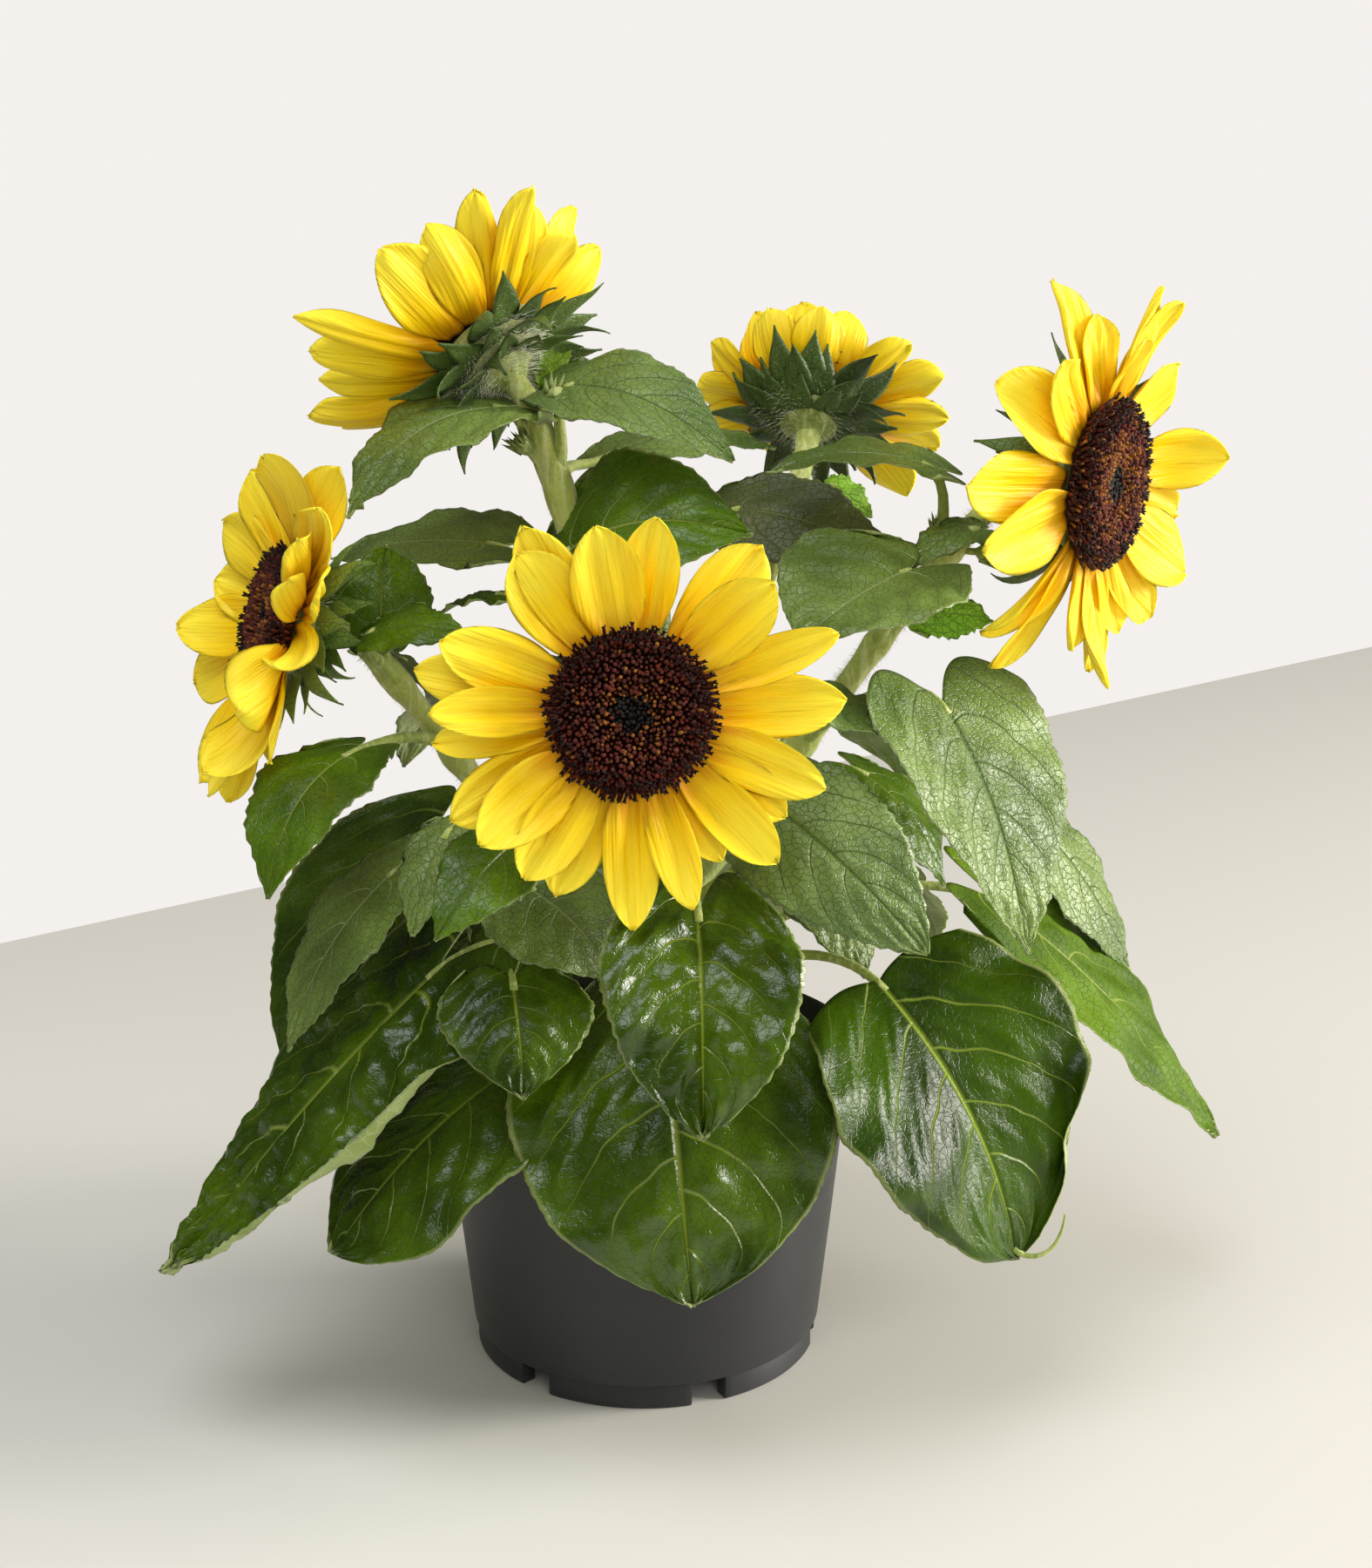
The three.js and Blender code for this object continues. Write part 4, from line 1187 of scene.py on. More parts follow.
LEAVES: dict[str, Leaf] = {
    "apron": Leaf("main", 0.03, (3, 32, 104), (9, -58, 108), 122, Look.GLOSSY,
                  turn=10, fold=14, arch=0.15, pucker=1.4, blister=0.3, wave=3.6, teeth=0.5,
                  blunt=0.3, taper=0.85),
    "cascade": Leaf("front", 0.45, (18, -16, 84), (1, -56, 80), 72, Look.GLOSSY,
                    fold=-20, arch=0.16, pucker=1.7, blister=0.7, wave=2.4, blunt=0.35, lobe=0.22),
    "left_long": Leaf("main", 0.13, (-46, 19, 113), (-84, -49, 156), 98, Look.GLOSSY,
                      turn=-20, arch=0.03, pucker=2.4, blister=1.5, rolls=(135, 0), roll_from=0.84,
                      roll_over=0.12, wave=2.4, teeth=0.5, shoulder=0.08),
    "left_broad": Leaf("main", 0.08, (-32, 10, 89), (-67, -40, 100), 88, Look.GLOSSY,
                       turn=-7, arch=0.07, pucker=1.5, blister=0.5, blunt=0.9, teeth=0.6, taper=0.85),
    "right_broad": Leaf("main", 0.07, (50, 23, 122), (66, -61, 117), 118, Look.DEEP,
                        turn=30, fold=-14, lobe=0.04, arch=0.13, pucker=0.8, wave=3.4, rolls=(130, -45),
                        roll_from=0.8, roll_over=0.08, roll_start=0.4, teeth=0.5, blunt=0.2, taper=0.85,
                        shoulder=0.05, tail=(16, -3, 20)),
    "right_behind": Leaf("main", 0.11, (92, 16, 150), (101, -48, 148), 90, Look.MATT,
                         turn=22, fold=0, arch=0.05, pucker=1.4, wave=3.0, teeth=1.0),
    "right_pale": Leaf("main", 0.19, (105, 13, 178), (103, -57, 80), 50, Look.SAGE, turn=40, arch=0.06),
    "left_back": Leaf("main", 0.06, (-99, 44, 122), (-59, -52, 111), 90, Look.GLOSSY,
                      turn=-22, arch=0.13, pucker=1.0),
    "left_grey": Leaf("left", 0.12, (-54, 25, 102), (-70, -57, 80), 50, Look.GREY,
                      turn=-13, fold=2, arch=0.1, teeth=1.2),
    "left_inner": Leaf("left", 0.22, (-27, 30, 103), (-26, -51, 42), 28, Look.GREY),
    "small_left": Leaf("front", 0.35, (-27, 8, 84), (-40, -31, 51), 36, Look.FRESH,
                       turn=-26, fold=8, arch=0.15, pucker=0.4),
    "under_bloom": Leaf("front", 0.25, (-31, 0, 73), (61, -38, 48), 58, Look.GREY, turn=20),
    "under_left": Leaf("main", 0.15, (-25, 18, 115), (11, -55, 44), 58, Look.GLOSSY, pucker=1.0),
    "front_right": Leaf("main", 0.34, (34, 26, 99), (54, -33, 86), 58, Look.SAGE,
                        turn=42, fold=8, arch=0.13, teeth=1.1, pucker=0.8, taper=0.85),
    "right_heart": Leaf("right", 0.4, (47, 22, 74), (37, -61, 98), 88, Look.SAGE,
                        turn=-4, fold=-8, arch=0.08, pucker=1.0, teeth=1.1, lobe=0.18, taper=1.0,
                        shoulder=0.2),
    "right_mid": Leaf("right", 0.25, (77, 26, 51), (64, -50, 56), 52, Look.FRESH, pucker=0.8),
    "behind_bloom": Leaf("main", 0.55, (57, 11, 92), (67, -21, 40), 36, Look.SAGE,
                         turn=9, fold=14, arch=0.07),
    "right_top": Leaf("right", 0.6, (12, 43, 55), (-46, -17, 63), 76, Look.GREY,
                      turn=-14, fold=-14, arch=0.05, pucker=0.9, lobe=0.3, taper=0.8),
    "back_long": Leaf("right", 0.78, (-38, 73, 38), (-92, -3, 63), 46, Look.GREY,
                      turn=-6, fold=-2, arch=0.11),
    "back_dark": Leaf("back", 0.7, (-97, 44, 25), (69, -15, 72), 46, Look.DUSK, turn=42),
    "right_stub": Leaf("right", 0.8, (31, 31, 18), (-64, -24, 36), 22, Look.GREY,
                       turn=-17, fold=6, arch=0.14),
    "top_right": Leaf("main", 0.87, (58, 82, 34), (65, -20, 73), 46, Look.SAGE,
                      turn=29, fold=-4, arch=0.14, teeth=0.7),
    "top_back": Leaf("main", 0.85, (161, 6, 52), (108, 0, 72), 40, Look.SAGE, turn=14),
    "upper_big": Leaf("main", 0.7, (-24, 49, 27), (74, 8, 74), 72, Look.FRESH,
                      turn=42, fold=-6, arch=0.19, pucker=0.9, lobe=0.25),
    "top_left": Leaf("main", 0.83, (-80, 60, 43), (-60, -30, 74), 56, Look.GREY,
                     turn=-8, fold=4, arch=0.17, wave=2.4, pucker=0.9),
    "top_small": Leaf("main", 0.93, (167, 41, 23), (34, 86, 22), 17, Look.MATT, fold=8),
    "left_upper": Leaf("main", 0.62, (-129, 39, 62), (-112, -8, 75), 60, Look.GREY,
                       turn=-14, fold=-4, arch=0.06),
    "left_fan": Leaf("left", 0.84, (-10, 66, 20), (180, 44, 39), 40, Look.FRESH, pucker=0.8),
    "left_side": Leaf("left", 0.8, (-18, 42, 40), (53, 5, 51), 26, Look.FRESH, turn=35, arch=0.1, teeth=1.1),
    "left_dark": Leaf("left", 0.6, (-134, 47, 51), (90, -61, 36), 26, Look.DUSK),
    "left_hang": Leaf("left", 0.62, (-39, 12, 56), (-36, -44, 65), 52, Look.FRESH,
                      fold=0, arch=0.18, teeth=1.3),
    "back_low": Leaf("main", 0.07, (170, 26, 105), (178, -52, 120), 100, Look.GLOSSY, pucker=1.6, wave=2.6),
    "back_low_left": Leaf("main", 0.13, (-128, 24, 112), (-122, -48, 118), 84, Look.GLOSSY,
                          pucker=1.4, wave=2.4),
    "back_low_right": Leaf("main", 0.16, (132, 26, 108), (128, -50, 112), 82, Look.FRESH,
                           pucker=1.3, wave=2.4),
    "back_mid": Leaf("main", 0.36, (176, 28, 70), (170, -36, 92), 68, Look.FRESH, pucker=0.8),
    "back_mid_left": Leaf("main", 0.45, (-140, 26, 72), (-132, -38, 84), 60, Look.GREY, pucker=0.6),
    "back_mid_right": Leaf("right", 0.3, (150, 24, 58), (132, -38, 84), 62, Look.SAGE, pucker=0.6),
    "back_upper": Leaf("main", 0.6, (168, 30, 46), (-170, -22, 66), 50, Look.GREY),
}
SPARE_LEAVES: dict[str, Leaf] = {
    "top": Leaf("back", 0.72, (124, 42, 33), (48, -27, 25), 16, Look.YOUNG, turn=30),
    "right": Leaf("right", 0.72, (-4, -20, 22), (100, -7, 28), 22, Look.YOUNG, turn=50, teeth=1.4),
    "dark": Leaf("main", 0.55, (-65, 51, 61), (-110, -19, 31), 24, Look.GLOSSY),
    "inner_left": Leaf("main", 0.25, (-104, -1, 45), (-77, -38, 55), 50, Look.GLOSSY, pucker=1.2),
    "inner_mid": Leaf("main", 0.18, (-79, 19, 58), (49, -40, 44), 42, Look.GLOSSY, pucker=1.0),
    "inner_right": Leaf("main", 0.2, (69, 28, 80), (39, -43, 48), 42, Look.GREY, pucker=0.8),
    "inner_back": Leaf("main", 0.3, (-121, 3, 33), (-70, -48, 48), 46, Look.GLOSSY, pucker=1.0),
}


@dataclass
class Bud:
    """A small green flower bud on its stalk, with pointed bracts round it."""

    stem: str
    at: float
    stalk: Numbers
    size: float = 4.0
    stalk_radius: float = 1.5
    bracts: int = 15

    def build(self, name: str) -> Object:
        """Make the bud as one piece."""
        foot = stem_limb(self.stem).at(self.at)
        heading, rise, length = self.stalk
        way = direction(heading, rise)
        neck = foot + way * length
        limb = Limb((foot, foot + way * length * 0.4 - UP, neck - way * length * 0.3 - UP, neck))
        size = self.size
        profile = [
            (0, -0.6), (size * 0.4, -0.5), (size * 0.9, size * 0.5), (size, size),
            (size * 0.8, size * 1.7), (size * 0.4, size * 2.1), (0, size * 2.1),
        ]
        index = np.arange(self.bracts)
        out = spokes(index * GOLDEN_TURN)
        stand = hair_axes(unit(UP + 0.35 * out), out, 0.3 * chances(self.bracts, 4))
        origins = out * size * 0.7 + UP * (size * (0.5 + 0.9 * index / self.bracts))[:, None]
        spikes = hair(size * 1.9, size * 0.4, 1).copies(stand, origins)
        head = Form.join([turned(profile, 14, 0, 0.2), spikes])
        head = head.moved(axes_along(way, np.array([0.3, 0.9, 0.1])), neck)
        stalk = tube(limb, lambda share: self.stalk_radius + 0 * share, 8, 8, 0)
        looks = (Look.CUP, Look.BRACT)
        return make_object(f"bud_{name}_green", Form.join([stalk, head]), [look.material() for look in looks])


BUDS: dict[str, Bud] = {
    "top": Bud("main", 0.93, (40, 50, 11), 4.4),
    "side": Bud("main", 0.86, (-80, 48, 15), 3.6),
    "right_upper": Bud("right", 0.74, (20, 66, 17), 3.4),
    "right_lower": Bud("right", 0.8, (62, -8, 10), 4.0),
}


@dataclass(frozen=True)
class BloomPlan:
    """A bloom's disc and rays, as in the frame.

    `lean` is how far its rays rise out of the disc's plane, and `sway` how much more, at most, and towards
    which turn. `restless` is how unevenly they stand, `flecks` the share of pale florets and `wool` the
    number of hairs on its cup.
    """

    disc: float
    lean: float
    sway: tuple[float, float]
    seed: float
    restless: float = 1.0
    flecks: float = 0.03
    curl: float = 0.0
    wool: int = 700
    bract: Look = Look.BRACT


BLOOMS: dict[str, BloomPlan] = {
    "main": BloomPlan(27, 25, (15, 270), 3, 1.5, wool=3000),
    "left": BloomPlan(24, 20, (14, 180), 5, 1.4, bract=Look.PALE_BRACT),
    "front": BloomPlan(28, 6, (0, 0), 11, 0.8),
    "right": BloomPlan(31, 2, (24, 0), 7, 1.5, 0.16),
    "back": BloomPlan(24, 45, (30, 45), 13, 1.2, curl=-25, bract=Look.DARK_BRACT),
}


@dataclass(frozen=True)
class Ray:
    """Where one ray stands, how far it reaches past the disc, and its width, roll and layer.

    `roll` curls it about its length. `lean`, `curl`, `sway` and `twist` add to the bloom's own: its rise, and
    how it bends up and sideways and turns about its own length by its tip. All are in degrees.
    """

    turn: float
    reach: float
    width: float
    roll: float
    layer: int
    lean: float = 0
    curl: float = 0
    sway: float = 0
    twist: float = 0


RAYS: dict[str, tuple[Ray, ...]] = {
    "front": (
        Ray(1, 47, 23, 8, -1), Ray(20, 48, 17, 62, 1), Ray(41, 39, 25, 16, 1), Ray(50, 45, 25, 10, -1),
        Ray(82, 39, 22, 30, -1), Ray(100, 37, 26, 14, 1), Ray(125, 39, 26, 10, 1), Ray(120, 46, 22, 20, -1),
        Ray(158, 42, 23, -14, 1), Ray(168, 47, 20, 12, -1), Ray(178, 42, 18, 28, 1),
        Ray(188, 41, 16, 40, -1), Ray(210, 44, 23, 12, -1), Ray(219, 41, 25, 10, 1),
        Ray(236, 40, 23, 16, 1), Ray(246, 41, 21, 10, -1), Ray(269, 47, 21, 34, 1), Ray(286, 44, 17, 40, 1),
        Ray(300, 33, 16, 10, -1), Ray(313, 45, 20, 36, 1), Ray(325, 37, 20, 10, -1),
        Ray(337, 44, 21, 26, 1),
    ),
    "main": (
        Ray(354, 47, 22, 30, 1), Ray(5, 58, 14, 40, -1), Ray(34, 46, 30, -20, 1), Ray(50, 43, 22, 25, -1),
        Ray(66, 47, 20, 40, 1, curl=-10), Ray(77, 52, 18, 50, -1), Ray(88, 37, 19, 10, -1),
        Ray(116, 38, 29, 20, 1, curl=20), Ray(102, 32, 22, 20, -1), Ray(136, 34, 27, -20, -1),
        Ray(160, 27, 23, 10, 1), Ray(182, 27, 20, 10, 1), Ray(205, 29, 20, 20, -1), Ray(228, 31, 20, 20, 1),
        Ray(252, 34, 20, 20, -1), Ray(276, 38, 20, 20, 1), Ray(297, 44, 22, 20, 1),
        Ray(316, 50, 23, 35, -1), Ray(337, 40, 18, 10, 1),
    ),
    "left": (
        Ray(80, 44, 28, 20, 1, twist=60), Ray(124, 39, 26, 15, -1, twist=40),
        Ray(66, 43, 25, 20, -1, twist=55), Ray(50, 38, 24, 10, -1, twist=60),
        Ray(38, 34, 21, 30, 1, lean=10, twist=-70), Ray(18, 26, 20, 50, 1, lean=20, sway=40, twist=-60),
        Ray(347, 22, 25, -50, 1, lean=10, sway=-40, twist=-60), Ray(322, 33, 32, 50, 1, lean=25, twist=70),
        Ray(296, 49, 28, 30, 1, twist=-60), Ray(262, 50, 25, 40, -1, twist=-50),
        Ray(272, 50, 20, 10, -1, twist=-50), Ray(281, 51, 20, 10, -1), Ray(200, 41, 26, 10, 1),
        Ray(219, 43, 30, 15, -1), Ray(176, 30, 26, 10, -1), Ray(150, 33, 26, 15, 1),
        Ray(22, 36, 22, 10, -1), Ray(305, 38, 22, 10, -1),
    ),
    "right": (
        Ray(6, 43, 24, 10, 1), Ray(342, 35, 22, 10, -1), Ray(325, 42, 30, 15, 1), Ray(305, 42, 28, 15, -1),
        Ray(288, 33, 22, 15, 1), Ray(268, 49, 25, 30, 1), Ray(278, 46, 16, 40, -1),
        Ray(252, 33, 24, 30, 1, lean=15), Ray(228, 46, 13, 60, -1, curl=-40), Ray(238, 52, 15, 50, -1),
        Ray(176, 52, 27, 15, -1), Ray(194, 43, 31, 15, 1), Ray(146, 46, 30, 20, 1),
        Ray(135, 40, 26, 40, 1, curl=25), Ray(109, 52, 25, 25, -1, sway=2), Ray(85, 27, 16, 50, 1, lean=20),
        Ray(98, 33, 22, 10, -1), Ray(72, 46, 17, 28, 1), Ray(64, 47, 17, 24, -1), Ray(40, 34, 27, 10, -1),
    ),
    "back": (
        Ray(352, 26, 26, 15, 1, lean=-40), Ray(20, 26, 24, 15, -1, lean=-30),
        Ray(42, 26, 22, 20, 1, curl=-15), Ray(62, 23, 22, 20, -1), Ray(80, 24, 24, -20, 1),
        Ray(98, 21, 22, 20, -1), Ray(118, 23, 20, 35, 1, curl=15), Ray(150, 25, 21, 20, -1),
        Ray(176, 30, 24, 15, 1), Ray(200, 34, 24, 15, -1), Ray(218, 40, 24, 15, 1),
        Ray(236, 43, 25, 20, -1), Ray(262, 34, 22, 20, 1), Ray(288, 34, 22, 20, -1),
        Ray(312, 34, 22, 15, 1), Ray(330, 30, 26, 15, -1, lean=-34),
    ),
}


def luck(index: float, seed: float) -> float:
    """Scatter of a single number."""
    return float(scatter(index, seed))


@dataclass
class Bloom:
    """A bloom: its woolly cup with rows of bracts, its rays, and its disc of florets.

    Lengths are millimetres and leans degrees. Rays of the lower layer begin a `layer_step` deeper and lean
    by `layer_lean` less, those of the upper layer by as much more. A blade leans by `foot_lean` of its lean
    at its foot, and by `more_lean` of it more at its tip.
    """

    name: str
    cup_height: float = 15.0
    ring: float = 3.0
    dome: float = 8.0
    dimple: float = 3.0
    layer_lean: float = 5.0
    layer_step: float = 1.4
    ray_sunk: float = 4.0
    ray_drop: float = 0.2
    foot_lean: float = 0.4
    more_lean: float = 1.2
    bracts: int = 13
    bract_rows: int = 3
    bract_lean: float = 18.0
    bract_start: float = 0.72
    bract_length: float = 0.86
    bract_width: float = 13.0
    bract_thickness: float = 0.5
    ray_thickness: float = 0.45
    wool_length: float = 4.4
    wool_radius: float = 0.12
    floret_density: float = 1.35
    eye_share: float = 0.26
    plan: BloomPlan = field(init=False)

    RINGS = (0.0, 0.3, 0.6, 0.86, 1.0)
    RAY_GRID = (24, 16)
    BRACT_GRID = (12, 6)

    def __post_init__(self) -> None:
        """Look up the bloom's plan."""
        self.plan = BLOOMS[self.name]

    def axes(self) -> tuple[Array, Array]:
        """The bloom's X, Y and Z, and its neck."""
        stem = STEMS[self.name]
        axis = direction(stem.heading, stem.rise)
        right = unit(np.cross(UP, axis))
        return np.stack([right, np.cross(axis, right), axis]), np.array(stem.neck, float)

    def lean_at(self, turn: float) -> float:
        """Lean of the rays at a turn, in degrees."""
        most, towards = self.plan.sway
        return self.plan.lean + most * math.cos(math.radians(turn - towards))

    def bed_foot(self) -> float:
        """Height where the disc's bed begins."""
        return self.cup_height + self.ring + 2 * CLEARANCE

    def standing(
        self, turn: float, start: float, height: float, length: float, lean: float, half: Array,
        across: Array, rise: Array, twist: float, curl: float, sway: float,
    ) -> Array:
        """Grid of a blade that stands out from the bloom's axis.

        Args:
            turn: Its place round the bloom, in degrees.
            start: Radius where it begins.
            height: Height where it begins.
            length: Its length.
            lean: Its rise out of the disc's plane, in degrees.
            half: Half width of each row.
            across: Place of each column, from -1 to 1, in each row or for all of them.
            rise: Height of each point over the blade's plane.
            twist: Turn about its own length by its tip, in degrees.
            curl: Further rise by its tip, in degrees.
            sway: How far it bends sideways by its tip, in degrees.

        Returns:
            Its points, rows along and columns across.
        """
        angle = math.radians(turn)
        share = np.linspace(0, 1, len(half))
        drift = angle + math.radians(sway) * share**2
        outward = spokes(drift)
        side = np.stack([np.sin(drift), -np.cos(drift), 0 * drift], 1)
        slope = np.radians(lean * (self.foot_lean + self.more_lean * share) + curl * share**2.2)
        roll = np.radians(twist * share)[:, None]
        normal = -outward * np.sin(slope)[:, None] + UP * np.cos(slope)[:, None]
        forward = outward * np.cos(slope)[:, None] + UP * np.sin(slope)[:, None]
        first = np.array([math.cos(angle), math.sin(angle), 0.0]) * start + UP * height
        steps = forward[:-1] * length / (len(share) - 1)
        middle = first + np.concatenate([np.zeros((1, 3)), np.cumsum(steps, axis=0)])
        way = side * np.cos(roll) - normal * np.sin(roll)
        over = normal * np.cos(roll) + side * np.sin(roll)
        grid = middle[:, None] + way[:, None] * (half[:, None] * across)[..., None]
        return grid + over[:, None] * rise[..., None]

    def ray(self, index: int) -> Form:
        """One ray with lengthwise folds, a curled or notched tip and its own twist."""
        plan, own = self.plan, RAYS[self.name][index]
        seed, turn = plan.seed, own.turn
        rows, columns = self.RAY_GRID
        share = np.linspace(0, 1, rows + 1)
        across = np.linspace(-1, 1, columns + 1)
        broad = 0.52 + 0.06 * luck(index, seed + 11)
        past = np.clip((share - broad) / (1 - broad), 0, 1)
        opening = 0.42 + 0.58 * np.sin(np.pi / 2 * share / broad)
        width = np.where(share < broad, opening, (1 - past**2.3) ** 0.66)
        width = np.maximum(width, 0.05)
        half = own.width / 2 * width
        length = own.reach + self.ray_sunk
        notch = max(0.0, luck(index * 2, seed + 9)) * 2.4
        cup = (0.5 + 1.1 * luck(index, seed + 5)) * plan.restless
        tips = eased(0.8, 1.0, share)[:, None]
        out = np.abs(across)[None]
        pleats = 6.5 + 2.5 * luck(index, seed + 12)
        folds = 0.85 * np.cos(across * pleats + index)[None] * (0.35 + 0.65 * width)[:, None]
        folds = folds + 0.18 * np.cos(across * 21 + index)[None] * width[:, None]
        rise = folds + cup * out**2 * width[:, None] * 1.2 - 0.8 * (1 - out) * width[:, None]
        flutter = np.sin(share[:, None] * 9 + index * 2.3 + 1.4 * np.sign(across)[None])
        rise = rise + 0.9 * plan.restless * out**3 * flutter * (0.3 + 0.7 * share)[:, None]
        rise = rise + tips * out * luck(index, seed + 6) * 1.5
        roll = math.radians(own.roll) * (0.3 + 0.7 * share)[:, None]
        roll = np.where(np.abs(roll) < 0.01, 0.01, roll)
        rise = rise + half[:, None] * (1 - np.cos(roll * across)) / roll
        height = self.cup_height + CLEARANCE + self.ring - self.ray_drop
        twist = own.twist + 8 * luck(index, seed + 3)
        grid = self.standing(
            turn,
            plan.disc - self.ray_sunk,
            height - (self.layer_step if own.layer < 0 else 0),
            length,
            self.lean_at(turn) + self.layer_lean * own.layer + own.lean + 3 * luck(index, seed + 2),
            half,
            np.sin(roll * across) / roll,
            rise,
            twist + 10 * (plan.restless - 0.6) * luck(index, seed + 8),
            plan.curl + own.curl + 22 * plan.restless * luck(index, seed + 7),
            own.sway + 4 * plan.restless * luck(index, seed + 10),
        )
        forward = unit(grid[-1, columns // 2] - grid[-3, columns // 2])
        teeth = np.cos(across * math.pi * 1.5) ** 2 * (1 - across**2)
        reach = -notch * (1 - teeth)[None] * tips * (1 - 0.5 * out)
        places = blade_places(half, across, share, length, index * 31.0)
        return sheet(grid + forward * reach[..., None], self.ray_thickness, places, (0, 0))

    def bract(self, index: int, row: int) -> Form:
        """One bract: a small pointed leaf with a long thin tip."""
        plan = self.plan
        seed = plan.seed + row * 3.1
        rows, columns = self.BRACT_GRID
        share = np.linspace(0, 1, rows + 1)
        across = np.linspace(-1, 1, columns + 1)
        turn = (index + 0.5 + 0.33 * row + 0.2 * luck(index, seed)) * 360 / self.bracts
        width = (0.6 + 1.3 * share) * (1 - share) ** 1.5 + 0.03
        half = self.bract_width * (0.62 - 0.07 * row) * width / 0.8
        length = plan.disc * self.bract_length * (1.12 - 0.1 * row) * (1 + 0.22 * luck(index, seed))
        out = np.abs(across)[None]
        lean = self.lean_at(turn) - self.layer_lean - self.bract_lean
        grid = self.standing(
            turn,
            plan.disc * (self.bract_start + 0.1 - 0.17 * row),
            11 - 3.2 * row,
            length,
            lean - 11 * row + 15 * luck(index, seed + 1),
            half,
            across,
            -1.3 * out * width[:, None] + 0.5 * out**2 * np.sin(share * 8 + index)[:, None],
            34 * luck(index, seed + 2),
            55 * luck(index, seed + 3) - 18,
            20 * luck(index, seed + 4),
        )
        thick = self.bract_thickness + 0.7 * (1 - out) * (1 - share[:, None])
        return sheet(grid, thick, blade_places(half, across, share, length, index * 17.0), (1, 1))

    def cup(self) -> Form:
        """The cup, its bracts and the wool on its neck."""
        disc, top = self.plan.disc, self.cup_height
        profile = [
            (0, -1.0), (4.6, -1.0), (5.6, CLEARANCE), (disc * 0.27, 1.6), (disc * 0.45, 3.6),
            (disc * 0.64, 6.0), (disc * 0.8, 9.0), (disc * 0.89, 12.0), (disc * 0.92, top), (0, top),
        ]
        forms = [turned(profile, 32, 0, 0.35)]
        for row in range(self.bract_rows):
            forms += [self.bract(index, row) for index in range(self.bracts)]
        count = self.plan.wool
        index = np.arange(count)
        radius = 4.5 + np.sqrt((index + 0.5) / count) * disc * 0.72
        height = np.interp(radius, *zip(*profile[1:-1]))
        out = spokes(index * GOLDEN_TURN)
        axes = hair_axes(unit(out - UP * 0.8), out, 0.5 * chances(count, 3))
        axes = axes * (1 + 0.45 * chances(count, 6))[:, None, None]
        origins = out * radius[:, None] + UP * height[:, None]
        forms.append(hair(self.wool_length, self.wool_radius, 2).copies(axes, origins))
        return Form.join(forms)

    def disc_height(self, radius: Array) -> Array:
        """Height of the disc's bed at each radius."""
        high = self.dome
        rises = [high - self.dimple, high - self.dimple / 2, high, high * 0.85, 3.0]
        return self.bed_foot() - 2.2 + np.interp(radius / self.plan.disc, self.RINGS, rises)

    def floret(self, stand: float, swell: float, knob: bool, slots: tuple[int, int]) -> Form:
        """One floret: a five-sided tube that flares, with a forked knob where it is open."""
        tube_profile = [
            (0, -1.0), (0.5, -1.0), (0.62, stand * 0.55), (swell, stand), (swell * 0.5, stand + 0.25),
            (0, stand - 0.1),
        ]
        fork = [
            (0, stand - 0.6), (0.2, stand - 0.5), (0.42, stand + 1.1), (0.2, stand + 1.6), (0, stand + 1.7)
        ]
        forms = [turned(tube_profile, 5, slots[0])]
        for side in (-1, 1) if knob else ():
            form = turned(fork, 4, slots[1])
            form.points[:, 0] += side * (0.1 + 0.28 * np.maximum(form.points[:, 2] - stand, 0))
            forms.append(form)
        return Form.join(forms)

    def florets(self) -> Form:
        """The bed and its florets, open at the margin, flecked within and closed over the eye."""
        disc = self.plan.disc
        count = int(self.floret_density * disc**2)
        index = np.arange(count)
        share = np.sqrt((index + 0.5) / count)
        radius = share * (disc - 0.3)
        out = spokes(index * GOLDEN_TURN)
        tilt = -0.3 + 1.1 * share**2 + 0.22 * chances(count, 4)
        sideways = np.cross(UP, out) * 0.24 * chances(count, 8)[:, None]
        stand = unit(UP * np.cos(tilt)[:, None] + out * np.sin(tilt)[:, None] + sideways)
        axes = axes_along(stand, out + 0.6 * chances(count, 1)[:, None])
        axes = axes * (1 + 0.24 * chances(count, 12))[:, None, None]
        origins = out * radius[:, None] + UP * self.disc_height(radius)[:, None]
        origins = origins + out * 0.25 * chances(count, 14)[:, None]
        chance = (chances(count, 21) + 1) / 2
        blurred = share + 0.05 * chances(count, 22)
        eye = blurred < self.eye_share
        fleck = ~eye & (chance < 0.42 * (1 - eased(0.28, 0.7, share)) + self.plan.flecks)
        open_ones = ~eye & ~fleck
        knobbed = blurred + 0.12 * chances(count, 23) > 0.78
        kinds = (
            (eye, self.floret(2.5, 0.62, False, (3, 3))),
            (fleck, self.floret(3.3, 0.55, False, (2, 2))),
            (open_ones & knobbed, self.floret(3.2, 0.62, True, (1, 4))),
            (open_ones & ~knobbed, self.floret(3.1, 0.66, False, (1, 1))),
        )
        forms = [floret.copies(axes[kept], origins[kept]) for kept, floret in kinds]
        base = self.bed_foot()
        bed = [(0, base), (disc - 5, base), (disc - 1, base + 0.8)]
        bed += [(ring * disc, float(self.disc_height(np.array(ring * disc)))) for ring in self.RINGS[::-1]]
        return Form.join([turned(bed, 40, 0), *forms])

